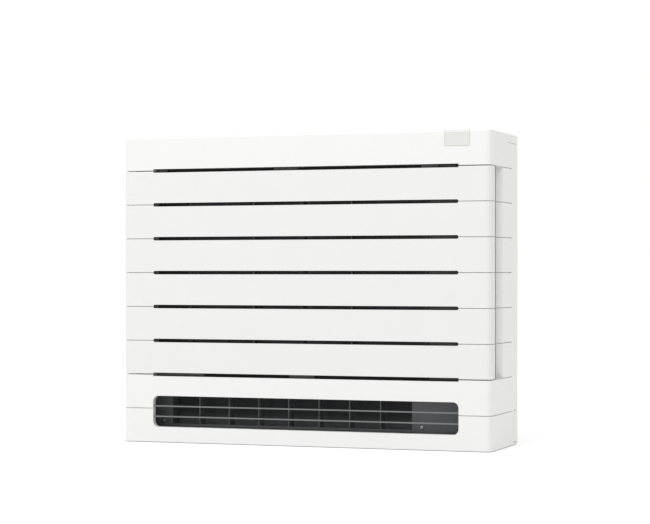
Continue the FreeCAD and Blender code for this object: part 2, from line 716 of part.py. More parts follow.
def build_front_casing():
    """The white shell: recess for the panel, finger recesses, outlet with its collar, top opening."""
    body = new_body("front_casing")
    pad(body, "XY", [rectangle("-half_width", "half_width", "front", "casing_back")],
        "base_thickness", "overall_height")
    fillet(body, "corner_radius", lambda p, way: abs(way.z) > 0.9 and near(p.y, "front"))
    wide = "half_width + 5"
    pocket(body, "XZ", [rectangle(f"-({wide})", wide, "recess_bottom", "recess_top")],
           "front - 5", "recess_face")
    for side in ("", "-"):
        ramp = [
            (f"{side}(half_width + 1)", "recess_face - 1"),
            (f"{side}(half_width - finger_inset)", "recess_face - 1"),
            (f"{side}(half_width - finger_inset)", "recess_face + finger_channel"),
            (f"{side}(half_width - finger_lip)", "recess_face + finger_channel"),
            (f"{side}half_width", "recess_face + finger_length"),
            (f"{side}(half_width + 1)", "recess_face + finger_length"),
        ]
        pocket(body, "XY", [ramp], "recess_bottom", "recess_top")
    pocket(body, "YZ", [rectangle("step_front", "casing_back + 5", "step_floor", "overall_height + 5")],
           f"-({wide})", wide)
    fillet(body, "top_edge_radius",
           lambda p, way: near(p.z, "overall_height") and p.y < value("step_front") - 0.1)
    hollow(body, "casing_wall", lambda box: box.YLength < 0.01 and near(box.YMin, "casing_back"))
    # upper and lower slit, shared with the panel
    for low, high in (("recess_top - 1", "recess_top + slit_bite"),
                      ("recess_bottom - slit_bite", "recess_bottom + 1")):
        pocket(body, "XZ", [rectangle("-slit_half", "slit_half", low, high)],
               "front - 1", "recess_face")
    # air openings behind the panel
    windows = []
    for left, right in both_sides("filter_split + filter_border",
                                  "filter_split + 2 * filter_half - filter_border"):
        windows.append(rectangle(left, right, "filter_low + filter_border",
                                 "filter_low + filter_height - filter_border"))
    pocket(body, "XZ", windows, "recess_face - 1", "recess_back + 1")
    # lower outlet with its collar
    wide = "slit_half + collar_wall"
    pad(body, "XZ", [rectangle(f"-({wide})", wide, "outlet_low - collar_wall", "outlet_top + collar_wall",
                               "outlet_radius + collar_wall")], "front + casing_wall / 2", "collar_back")
    pocket(body, "XZ", [rectangle("-slit_half", "slit_half", "outlet_low", "outlet_top", "outlet_radius")],
           "front - 1", "collar_back + 1")
    # opening under the flap, and the corner that the display window fills
    pocket(body, "XY", [rectangle("-opening_half", "opening_half", "opening_front", "opening_back")],
           "top_inner - 1", "overall_height + 1")
    pocket(body, "XZ", [rectangle("window_left - window_gap", "window_left + window_width + window_gap",
                                  "overall_height - window_height - window_gap", "overall_height + 5",
                                  "window_corner_radius + window_gap")],
           "front - 1", "front + window_lip + window_gap")
    # pipe openings at the lower rear
    for left, right in both_sides("half_width - casing_wall - 1", "half_width + 1"):
        pocket(body, "YZ", [rectangle("knockout_front", "casing_back + 1", "knockout_low", "knockout_top"),
                            ("circle", "casing_back - flange_inset - flange_thickness / 2", "tie_hole_height",
                             "tie_hole_radius")], left, right)
    # fine lines round the sides, and round the lowest band but one
    rear = "casing_back - line_rear_stop"
    for number in (1, 7, 8):
        middle = band_line(number)
        pocket(body, "XY", [line_loop(rear)], f"{middle} - line_width / 2", f"{middle} + line_width / 2")
    fine = []
    for side in ("", "-"):
        fine.append([
            (f"{side}(half_width + 1)", "recess_face + finger_channel"),
            (f"{side}(half_width - finger_lip - line_depth)", "recess_face + finger_channel"),
            (f"{side}(half_width - line_depth)", "recess_face + finger_length"),
            (f"{side}(half_width - line_depth)", rear),
            (f"{side}(half_width + 1)", rear),
        ])
    for number in range(2, 7):
        middle = band_line(number)
        pocket(body, "XY", fine, f"{middle} - line_width / 2", f"{middle} + line_width / 2")
    # hinge arms for the panel
    hole = "hinge_pin_radius + running_gap"
    arm = [
        ("hinge_y", f"hinge_z + {hole}", hole, 1),
        ("hinge_y", "hinge_z + hinge_arm_rise"),
        ("recess_face + 1", "hinge_z + hinge_arm_rise"),
        ("recess_face + 1", "hinge_z - hinge_arm_drop"),
        ("hinge_y + hinge_arm_nose", "hinge_z - hinge_arm_drop"),
        ("hinge_y + hinge_arm_nose", "hinge_z"),
        (f"hinge_y + {hole}", "hinge_z"),
    ]
    for left, right in both_sides("hinge_x - hinge_arm_width / 2", "hinge_x + hinge_arm_width / 2"):
        pad(body, "YZ", [arm], left, right)
    # holes for the button and the screws
    holes = [("circle", "button_x", "button_height", "button_radius + running_gap")]
    for across in ("screw_x", "-screw_x"):
        for up in ("screw_low", "screw_high"):
            holes.append(("circle", across, up, "screw_radius + running_gap"))
    pocket(body, "XZ", holes, "recess_face - 1", "recess_back + 1")


def build_front_panel():
    """The tilting panel: a shallow tray with slits and gussets for its pins."""
    body = new_body("front_panel")
    pad(body, "XZ", [rectangle("-half_width", "half_width", "panel_bottom", "panel_top")],
        "front", "panel_back")
    fillet(body, "corner_radius", lambda p, way: abs(way.z) > 0.9 and near(p.y, "front"))
    hollow(body, "casing_wall", lambda box: box.YLength < 0.01 and near(box.YMin, "panel_back"))
    fillet(body, "panel_edge_radius",
           lambda p, way: (near(p.z, "panel_top") or near(p.z, "panel_bottom"))
           and p.y < value("panel_back") - 0.1)
    slits = []
    for number in range(2, 7):
        middle = band_line(number)
        slits.append(rectangle("-slit_half", "slit_half", f"{middle} - slit_height / 2",
                               f"{middle} + slit_height / 2", "slit_height / 2 - 0.01"))
    pocket(body, "XZ", slits, "front - 1", "front_inner + 1")
    for low, high in (("panel_top - slit_bite", "panel_top + 1"),
                      ("panel_bottom - 1", "panel_bottom + slit_bite")):
        pocket(body, "XZ", [rectangle("-slit_half", "slit_half", low, high)],
               "front - 1", "panel_back + 1")
    for number in range(2, 7):
        middle = band_line(number)
        pocket(body, "XY", [line_loop("panel_back + 1")],
               f"{middle} - line_width / 2", f"{middle} + line_width / 2")
    # room for the casing's hinge arms, then the gussets that hold the pins
    half_notch = "(hinge_arm_width / 2 + hinge_notch_margin)"
    for left, right in both_sides(f"hinge_x - {half_notch}", f"hinge_x + {half_notch}"):
        pocket(body, "YZ", [rectangle("hinge_y - 0.5", "panel_back + 1", "panel_bottom - 1",
                                      "panel_bottom + casing_wall + 0.2")], left, right)
    low, deep = "panel_bottom + casing_wall - 0.5", "front_inner - 0.5"
    gusset = [(deep, low), ("front_inner + gusset_size", low), ("front_inner + gusset_size", "hinge_z + 2"),
              ("hinge_y + 3", "panel_bottom + casing_wall + gusset_size"),
              (deep, "panel_bottom + casing_wall + gusset_size")]
    ends = (("hinge_x - hinge_pin_length / 2", f"hinge_x - {half_notch}"),
            (f"hinge_x + {half_notch}", "hinge_x + hinge_pin_length / 2"))
    for near_end, far_end in ends:
        for left, right in both_sides(near_end, far_end):
            pad(body, "YZ", [gusset], left, right)
    for left, right in both_sides("hinge_x - hinge_pin_length / 2 - 1",
                                  "hinge_x + hinge_pin_length / 2 + 1"):
        pocket(body, "YZ", [("circle", "hinge_y", "hinge_z", "hinge_pin_radius + seat_gap")], left, right)


def build_panel_fittings():
    """Hinge pins and catches of the panel, and the two dark stays behind its slits."""
    stays = new_body("panel_stays")
    loops = []
    for left, right in both_sides("stay_x - stay_thickness / 2", "stay_x + stay_thickness / 2"):
        loops.append(rectangle(left, right, "panel_bottom + slit_height", "panel_top - slit_height"))
    pad(stays, "XZ", loops, "front_inner", "front + stay_depth")
    pins = new_body("panel_pins")
    for left, right in both_sides("hinge_x - hinge_pin_length / 2", "hinge_x + hinge_pin_length / 2"):
        pad(pins, "YZ", [("circle", "hinge_y", "hinge_z", "hinge_pin_radius")], left, right)
    catches = new_body("panel_catches")
    loops = []
    for left, right in both_sides("catch_x - catch_width / 2", "catch_x + catch_width / 2"):
        loops.append(rectangle(left, right, "catch_height - catch_rise / 2", "catch_height + catch_rise / 2"))
    pad(catches, "XZ", loops, "recess_face - catch_depth", "recess_face")


def build_rear_cover():
    """The strip that closes the top of the casing behind the flap."""
    body = new_body("top_rear_cover")
    pad(body, "XY", [rectangle("-half_width", "half_width", "step_front + rear_cover_gap", "casing_back")],
        "step_floor + rear_cover_gap", "overall_height")
    fillet(body, "top_edge_radius",
           lambda p, way: near(p.z, "overall_height") and p.y > value("step_front + rear_cover_gap") + 0.1)
    hollow(body, "casing_wall",
           lambda box: box.ZLength < 0.01 and near(box.ZMin, "step_floor + rear_cover_gap"))


def build_base_plate():
    """Dark base, set in from the casing."""
    body = new_body("base_plate")
    pad(body, "XY", [rectangle("-half_width + base_inset", "half_width - base_inset", "front + base_inset",
                               "casing_back - base_inset", "corner_radius / 2")], "0", "base_thickness")


def build_display():
    """Display window, turned over the top edge, and the board behind it."""
    window = new_body("display_window")
    left, right = "window_left", "window_left + window_width"
    pad(window, "YZ", [rectangle("front", "front + window_lip", "overall_height - window_height",
                                 "overall_height")], left, right)
    fillet(window, "window_corner_radius",
           lambda p, way: abs(way.y) > 0.9 and near(p.z, "overall_height - window_height"))
    fillet(window, "top_edge_radius",
           lambda p, way: near(p.z, "overall_height") and near(p.y, "front"))
    pocket(window, "YZ", [rectangle("front + window_wall", "front + window_lip + 1",
                                    "overall_height - window_height - 1", "overall_height - window_wall")],
           f"{left} - 1", f"{right} + 1")
    board = new_body("display_board")
    pad(board, "XZ", [rectangle(f"{left} - 5", f"{right} + 5", "overall_height - window_height - 12",
                                "top_inner - 2")], "front_inner", "front_inner + board_thickness")
    chips = []
    for step in range(4):
        across = f"{left} + {8 + 10 * step}"
        chips.append(rectangle(across, f"{across} + 4", "overall_height - 18", "overall_height - 14"))
    pocket(board, "XZ", [rectangle("window_left - window_gap - 0.2", f"{right} + window_gap + 0.2",
                                   "overall_height - window_lip", "overall_height")],
           "front_inner - 1", "front_inner + board_thickness + 1")
    pad(board, "XZ", chips, "front_inner + board_thickness - 0.2", "front_inner + board_thickness + 2")


def build_outlet_bars():
    """Two bars across the lower outlet."""
    body = new_body("outlet_bars")
    half = "slit_half - bar_end_gap"
    bars = []
    for third in (1, 2):
        middle = f"outlet_low + {third} * outlet_height / 3"
        bars.append(rectangle(f"-({half})", half, f"{middle} - bar_height / 2", f"{middle} + bar_height / 2"))
    pad(body, "XZ", bars, "front + bar_inset", "front + bar_inset + bar_depth")


def build_lower_duct():
    """Box behind the lower outlet, its mouth with upright ribs, and the duct up to the fan chamber."""
    body = new_body("lower_duct")
    outer = "duct_half + duct_wall"
    low, high = "duct_floor - duct_wall", "duct_ceiling + duct_wall"
    pad(body, "XZ", [rectangle(f"-({outer})", outer, low, high)], "collar_back", "mouth_back")
    pocket(body, "XZ", [rectangle("-duct_half", "duct_half", "duct_floor", "duct_ceiling")],
           "collar_back + duct_wall", "mouth_face")
    front_half = "slit_half + duct_margin"
    pocket(body, "XZ", [rectangle(f"-({front_half})", front_half, "duct_floor", "duct_ceiling")],
           "collar_back - 1", "collar_back + duct_wall + 1")
    left, right = about_mouth("rear_duct_half + duct_wall")
    pad(body, "XZ", [rectangle(left, right, low, high)], "mouth_back - 0.5", "duct_end")
    inner_left, inner_right = about_mouth("rear_duct_half")
    pocket(body, "XZ", [rectangle(inner_left, inner_right, "duct_floor", "duct_ceiling")],
           "mouth_back", "duct_end - duct_wall")
    mouth_left, mouth_right = about_mouth("mouth_half")
    pocket(body, "XZ", [rectangle(mouth_left, mouth_right, "duct_floor + mouth_sill", "duct_ceiling")],
           "mouth_face - 1", "mouth_back + 1")
    pocket(body, "XY", [rectangle(inner_left, inner_right, "duct_end - duct_port", "duct_end - duct_wall")],
           "duct_ceiling - 1", f"{high} + 1")
    ribs = []
    for step in range(-3, 4):
        middle = f"{step} * rib_pitch - mouth_shift - rib_shift"
        ribs.append(rectangle(f"{middle} - rib_thickness / 2", f"{middle} + rib_thickness / 2",
                              "duct_floor - 0.5", "duct_ceiling + 0.5"))
    pad(body, "XZ", ribs, "mouth_face", "mouth_face + rib_depth")
    pocket(body, "YZ", [("circle", "damper_y", "damper_z", "pivot_radius + running_gap")],
           f"{left} - 1", f"{right} + 1")
    screws = []
    for across in about_mouth("duct_screw_x"):
        screws.append(("circle", across, "duct_screw_height", "screw_radius + running_gap"))
    pocket(body, "XZ", screws, "mouth_face - 1", "mouth_back + 1")


def build_damper():
    """Damper that shuts the lower duct, and its motor."""
    body = new_body("lower_damper")
    left, right = about_mouth("rear_duct_half - damper_gap")
    pad(body, "YZ", [rectangle("damper_y - damper_thickness / 2", "damper_y + damper_thickness / 2",
                               "duct_floor + damper_gap", "damper_z")], left, right)
    pad(body, "YZ", [("circle", "damper_y", "damper_z", "pivot_radius + 1")], left, right)
    end, pin = about_mouth("rear_duct_half + duct_wall")
    pad(body, "YZ", [("circle", "damper_y", "damper_z", "pivot_radius")], end, pin)
    motor = new_body("damper_motor")
    pad(motor, "YZ", [("circle", "damper_y", "damper_z", "small_motor_radius")],
        pin, f"{pin} + small_motor_length")
    ears = rectangle("damper_y - small_motor_radius - 6", "damper_y + small_motor_radius + 6",
                     "damper_z - 4", "damper_z + 4")
    pad(motor, "YZ", [ears], pin, f"{pin} + 2")


def build_upper_duct():
    """Open frame under the flap, with the rail that carries the louvers."""
    body = new_body("upper_duct")
    outer = "upper_duct_half + duct_wall"
    pad(body, "XY", [rectangle(f"-({outer})", outer, "opening_front - duct_wall",
                               "opening_back + duct_wall")], "upper_duct_low", "top_inner")
    pocket(body, "XY", [rectangle("-upper_duct_half", "upper_duct_half", "opening_front", "opening_back")],
           "upper_duct_low - 1", "top_inner + 1")
    half = "upper_duct_half + 0.5"
    pad(body, "XY", [rectangle(f"-({half})", half, "louver_y - rail_width / 2", "louver_y + rail_width / 2")],
        "rail_low", "rail_top")
    holes = []
    for step in range(8):
        holes.append(("circle", f"{step - 3.5} * louver_pitch", "louver_y", "pivot_radius + running_gap"))
    pocket(body, "XY", holes, "rail_low - 1", "rail_top + 1")
    pocket(body, "YZ", [("circle", "flap_axis_y", "flap_axis_z", "flap_pin_radius + running_gap")],
           f"-({outer}) - 1", f"{outer} + 1")


def build_upper_flap():
    """Flap with a rolled rear edge about its hinge, end cheeks, pins, and the gearbox that turns it."""
    body = new_body("upper_flap")
    inner = "flap_nose_radius - flap_thickness"
    section = [
        ("flap_front", "overall_height - flap_thickness"),
        ("flap_axis_y", "overall_height - flap_thickness"),
        (f"flap_axis_y + {inner}", "flap_axis_z", inner, -1),
        ("flap_back", "flap_axis_z"),
        ("flap_axis_y", "overall_height", "flap_nose_radius", 1),
        ("flap_front", "overall_height"),
    ]
    half = "flap_half_length"
    pad(body, "YZ", [section], f"-({half})", half)
    for left, right in both_sides(f"{half} - flap_cheek", half):
        pad(body, "YZ", [("circle", "flap_axis_y", "flap_axis_z", "flap_nose_radius")], left, right)
    low = "overall_height - flap_thickness - flap_rib_depth"
    middle = "(flap_front + flap_axis_y) / 2"
    for along in (f"flap_front + 12", middle):
        pad(body, "YZ", [rectangle(along, f"{along} + 2", low, "overall_height - flap_thickness + 0.5")],
            f"-({half}) + 20", f"{half} - 20")
    pin = "upper_duct_half + duct_wall"
    for left, right in both_sides(f"{half} - 1", pin):
        pad(body, "YZ", [("circle", "flap_axis_y", "flap_axis_z", "flap_pin_radius")], left, right)
    motor = new_body("flap_motor")
    low = "top_inner - 0.5 - flap_motor_drop"
    pad(motor, "YZ", [rectangle("flap_axis_y - flap_motor_depth / 2", "flap_axis_y + 10.5",
                                low, "top_inner - 0.5")],
        pin, f"{pin} + flap_motor_length")
    pad(motor, "YZ", [("circle", "flap_axis_y - 1", f"{low} + 12", "11")], f"{pin} + flap_motor_length - 1",
        f"{pin} + flap_motor_length + 14")


def build_louvers():
    """Eight upright louvers on the rail, the link that swings them together, and their motor."""
    for step in range(8):
        body = new_body(f"louver_{step + 1}")
        half = "louver_thickness / 2"
        pad(body, "XY", [rectangle(f"-({half})", half, "-louver_front", "louver_rear")],
            "louver_low", "louver_low + louver_rise")
        pad(body, "XY", [("circle", "0", "0", "pivot_radius + 1.2")], "rail_top", "louver_low + 4")
        pad(body, "XY", [("circle", "0", "0", "pivot_radius")], "rail_low", "rail_top + 0.5")
        pad(body, "XY", [("circle", "0", "crank_radius", "crank_pin_radius")], "link_low", "louver_low + 2")
        place(body, f"{step - 3.5} * louver_pitch", "louver_y")
    link = new_body("louver_link")
    half = "3.5 * louver_pitch + 12"
    back = "crank_y + 3"
    pad(link, "XY", [rectangle(f"-({half})", half, f"{back} - link_width", back)],
        "link_low", "link_low + link_height")
    side = "(crank_pin_radius + link_slot_side)"
    slots = []
    for step in range(8):
        middle = f"{step - 3.5} * louver_pitch"
        end = "crank_y + crank_pin_radius + link_slot_side"
        slots.append(rectangle(f"{middle} - {side}", f"{middle} + {side}", f"{end} - link_slot_length", end))
    pocket(link, "XY", slots, "link_low - 1", "link_low + link_height + 1")
    motor = new_body("louver_motor")
    pad(motor, "XY", [("circle", "3.5 * louver_pitch", "louver_y", "louver_motor_radius")],
        "rail_low - louver_motor_length", "rail_low")


def build_filters():
    """Two mesh filters ahead of the casing wall, their latches and the cartridges behind them."""
    top = "filter_low + filter_height"
    stretches = {"right": ("filter_split", "filter_split + 2 * filter_half"),
                 "left": ("-(filter_split + 2 * filter_half)", "-filter_split")}
    cartridges = []
    cells = []
    for side, (left, right) in stretches.items():
        body = new_body("air_filter_" + side)
        low = "filter_low + filter_border"
        pad(body, "XZ", [rectangle(left, right, "filter_low", top)],
            "recess_face - filter_depth", "recess_face")
        panes = []
        wide = "(2 * filter_half - 2 * filter_border - 2 * filter_bar) / 3"
        tall = "(filter_height - 2 * filter_border - 3 * filter_bar) / 4"
        for column in range(3):
            for line in range(4):
                start = f"{left} + filter_border + {column} * ({wide} + filter_bar)"
                base = f"{low} + {line} * ({tall} + filter_bar)"
                panes.append(rectangle(start, f"{start} + {wide}", base, f"{base} + {tall}"))
        middle = "recess_face - filter_depth / 2"
        pocket(body, "XZ", panes, "recess_face - filter_depth - 1", f"{middle} - mesh_thickness / 2")
        pocket(body, "XZ", panes, f"{middle} + mesh_thickness / 2", "recess_face + 1")
        centre = f"(({left}) + ({right})) / 2"
        cartridges.append(rectangle(f"{centre} - cartridge_width / 2", f"{centre} + cartridge_width / 2",
                                    "cartridge_low", "cartridge_low + cartridge_height"))
        for column in range(6):
            start = f"{centre} - cartridge_width / 2 + 4 + {column} * (cartridge_width - 8) / 6"
            cells.append(rectangle(f"{start} + 1", f"{start} + (cartridge_width - 8) / 6 - 1",
                                   "cartridge_low + 5", "cartridge_low + cartridge_height - 5"))
    deodorisers = new_body("deodorisers")
    pad(deodorisers, "XZ", cartridges, "recess_face", "recess_face + cartridge_depth")
    pocket(deodorisers, "XZ", cells, "recess_face + 1", "recess_face + cartridge_depth + 1")
    latches = new_body("filter_latches")
    loops = []
    start = "-slit_half + latch_end_gap"
    upper = [(start, f"{start} + latch_outer_width"),
             ("latch_middle_x - latch_middle_width / 2", "latch_middle_x + latch_middle_width / 2"),
             ("latch_right_x - latch_right_width / 2", "latch_right_x + latch_right_width / 2")]
    for left, right in upper:
        loops.append(rectangle(left, right, f"{top} + latch_clearance", "recess_top + slit_bite - 0.5"))
    lower = [(start, f"{start} + rest_outer_width"),
             ("rest_middle_x - rest_middle_width / 2", "rest_middle_x + rest_middle_width / 2")]
    for left, right in lower:
        loops.append(rectangle(left, right, "recess_bottom - slit_bite + 0.5",
                               "filter_low - latch_clearance"))
    pad(latches, "XZ", loops, "recess_face - latch_depth", "surround_face")
    # the dark sheet that darkens the slits beside, above and below the filters
    surround = new_body("inlet_surround")
    half = "(slit_half - surround_gap)"
    pad(surround, "XZ", [rectangle(f"-{half}", half, "recess_bottom - slit_bite + 0.3",
                                   "recess_top + slit_bite - 0.3")], "surround_face", "recess_face")
    holes = [("circle", "button_x", "button_height", "button_radius + 1")]
    for left, right in stretches.values():
        holes.append(rectangle(f"{left} - surround_gap", f"{right} + surround_gap",
                               "filter_low - surround_gap", f"{top} + surround_gap"))
    pocket(surround, "XZ", holes, "surround_face - 1", "recess_face + 1")


def build_heat_exchanger():
    """Fin pack, end plates, return bends, pipes with unions, and the drain pan with its spout."""
    fins = new_body("coil_fins")
    middle = "fin_front + fin_depth / 2"
    pad(fins, "XZ", [rectangle("-fin_half_length", "fin_half_length", "fin_low", "fin_top")],
        f"{middle} - fin_core / 2", f"{middle} + fin_core / 2")
    first = pad(fins, "XZ", [rectangle("-fin_half_length", "-fin_half_length + fin_thickness",
                                       "fin_low", "fin_top")], "fin_front", "fin_back")
    count = "floor((2 * fin_half_length - fin_thickness) / fin_pitch)"
    repeat(fins, first, "PartDesign::LinearPattern", "X_Axis", f"{count} + 1", f"{count} * fin_pitch")
    for name, (left, right) in zip(("right", "left"), both_sides("fin_half_length", "end_face")):
        plate = new_body("coil_end_" + name)
        pad(plate, "YZ", [rectangle("fin_front - end_plate_margin", "fin_back + end_plate_margin",
                                    "pan_inner_floor", "fin_top + end_plate_margin")], left, right)
    bends = []
    for first in (1, 3, 5):
        bends += [(first, "-end_face", -1)]
    for first in (0, 2, 4, 6):
        bends += [(first, "end_face", 1)]
    # an eight-sided section keeps the hidden bends light
    section = doc.addObject("Part::RegularPolygon", "bend_section")
    section.Polygon = 8
    bind(section, "Circumradius", "tube_radius")
    section.Placement = FreeCAD.Placement(FreeCAD.Vector(), facing((1, 0, 0), (0, 0, 1)))
    bind(section, "Placement.Base.x", "row_pitch / 2")
    group = []
    for column in range(2):
        for first, face, way in bends:
            bend = doc.addObject("Part::Revolution", "return_bend")
            bend.Source = section
            bend.Axis = (0, 0, 1)
            bend.Angle = 180
            bend.Solid = True
            bend.Placement = FreeCAD.Placement(FreeCAD.Vector(), facing((0, 0, 1), (way, 0, 0)))
            bind(bend, "Placement.Base.x", face)
            bind(bend, "Placement.Base.y", f"column_front + {column} * column_pitch")
            bind(bend, "Placement.Base.z", f"row_first + {first} * row_pitch + row_pitch / 2")
            group.append(bend)
    bends = doc.addObject("Part::Compound", "coil_bends")
    bends.Label = "coil_bends"
    bends.Links = group
    PIECES.append(bends)
    build_pipe("gas", "row_last")
    build_pipe("liquid", "row_first")
    build_drain()


def facing(first, second):
    """The turn that brings the X and Y axes of a shape round to two directions."""
    one, two = FreeCAD.Vector(*first), FreeCAD.Vector(*second)
    return FreeCAD.Rotation(one, two, one.cross(two), "XYZ")


def rod(name, radius, length, axis, across, back, up):
    """A plain round bar from a place, along an axis."""
    bar = doc.addObject("Part::Cylinder", name)
    bind(bar, "Radius", radius)
    bind(bar, "Height", length)
    turn = FreeCAD.Rotation(FreeCAD.Vector(0, 0, 1), FreeCAD.Vector(*axis))
    bar.Placement = FreeCAD.Placement(FreeCAD.Vector(), turn)
    place(bar, across, back, up)
    return bar


def elbow(name, radius, turn, across, back, up):
    """A quarter bend, set down by the middle of its curve."""
    bend = doc.addObject("Part::Torus", name)
    bind(bend, "Radius1", "pipe_bend")
    bind(bend, "Radius2", radius)
    bend.Angle3 = 90
    bend.Placement = FreeCAD.Placement(FreeCAD.Vector(), turn)
    place(bend, across, back, up)
    return bend


def build_pipe(name, start):
    """A pipe from the coil out to the left, down and back, ending in a flare union."""
    radius, across, low = f"{name}_radius", f"{name}_x", f"{name}_low"
    label = name + "_pipe"
    out = rod(label + "_out", radius, f"-end_face - ({across}) - pipe_bend", (-1, 0, 0),
              "-end_face", "column_front", start)
    first = elbow(label + "_elbow", radius, facing((0, 0, 1), (-1, 0, 0)),
                  f"{across} + pipe_bend", "column_front", f"{start} - pipe_bend")
    down = rod(label + "_down", radius, f"{start} - {low} - 2 * pipe_bend", (0, 0, -1),
               across, "column_front", f"{start} - pipe_bend")
    second = elbow(label + "_bend", radius, facing((0, -1, 0), (0, 0, -1)),
                   across, "column_front + pipe_bend", f"{low} + pipe_bend")
    back = rod(label + "_back", radius, "pipe_end - column_front - pipe_bend", (0, 1, 0), across,
               "column_front + pipe_bend", low)
    pipe = doc.addObject("Part::MultiFuse", label)
    pipe.Label = label
    pipe.Shapes = [out, first, down, second, back]
    PIECES.append(pipe)
    union = new_body(name + "_union")
    flat = f"{name}_hex"
    corner = f"{flat} / cos(30)"
    hexagon = []
    for step in range(6):
        hexagon.append((f"{corner} * cos({60 * step})", f"{corner} * sin({60 * step})"))
    pad(union, "XZ", [hexagon], "0", "union_hex_length")
    pad(union, "XZ", [("circle", "0", "0", f"{name}_thread")], "union_hex_length - 0.5",
        "union_hex_length + union_thread_length")
    pocket(union, "XZ", [("circle", "0", "0", f"{radius} - 0.8")],
           "2", "union_hex_length + union_thread_length + 1")
    place(union, across, "pipe_end", low)


def build_drain():
    """Drain pan under the coil, with its spout to the left."""
    pan = new_body("drain_pan")
    pad(pan, "XY", [rectangle("-pan_half_length", "pan_half_length", "recess_back", "bell_front")],
        "pan_low", "pan_low + pan_height")
    pocket(pan, "XY", [rectangle("-pan_half_length + pan_wall", "pan_half_length - pan_wall",
                                 "recess_back + pan_wall", "bell_front - pan_wall")],
           "pan_inner_floor", "pan_low + pan_height + 1")
    middle = "(recess_back + bell_front) / 2"
    pocket(pan, "YZ", [("circle", middle, "pan_low + spout_radius + 2", "spout_bore - 2")],
           "-pan_half_length - 1", "-pan_half_length + pan_wall + 1")
    spout = new_body("drain_spout")
    up = "pan_low + spout_radius + 2"
    pad(spout, "YZ", [("circle", middle, up, "spout_radius")],
        "-pan_half_length - spout_length", "-pan_half_length")
    pocket(spout, "YZ", [("circle", middle, up, "spout_bore")], "-pan_half_length - spout_length - 1",
           "-pan_half_length + 1")


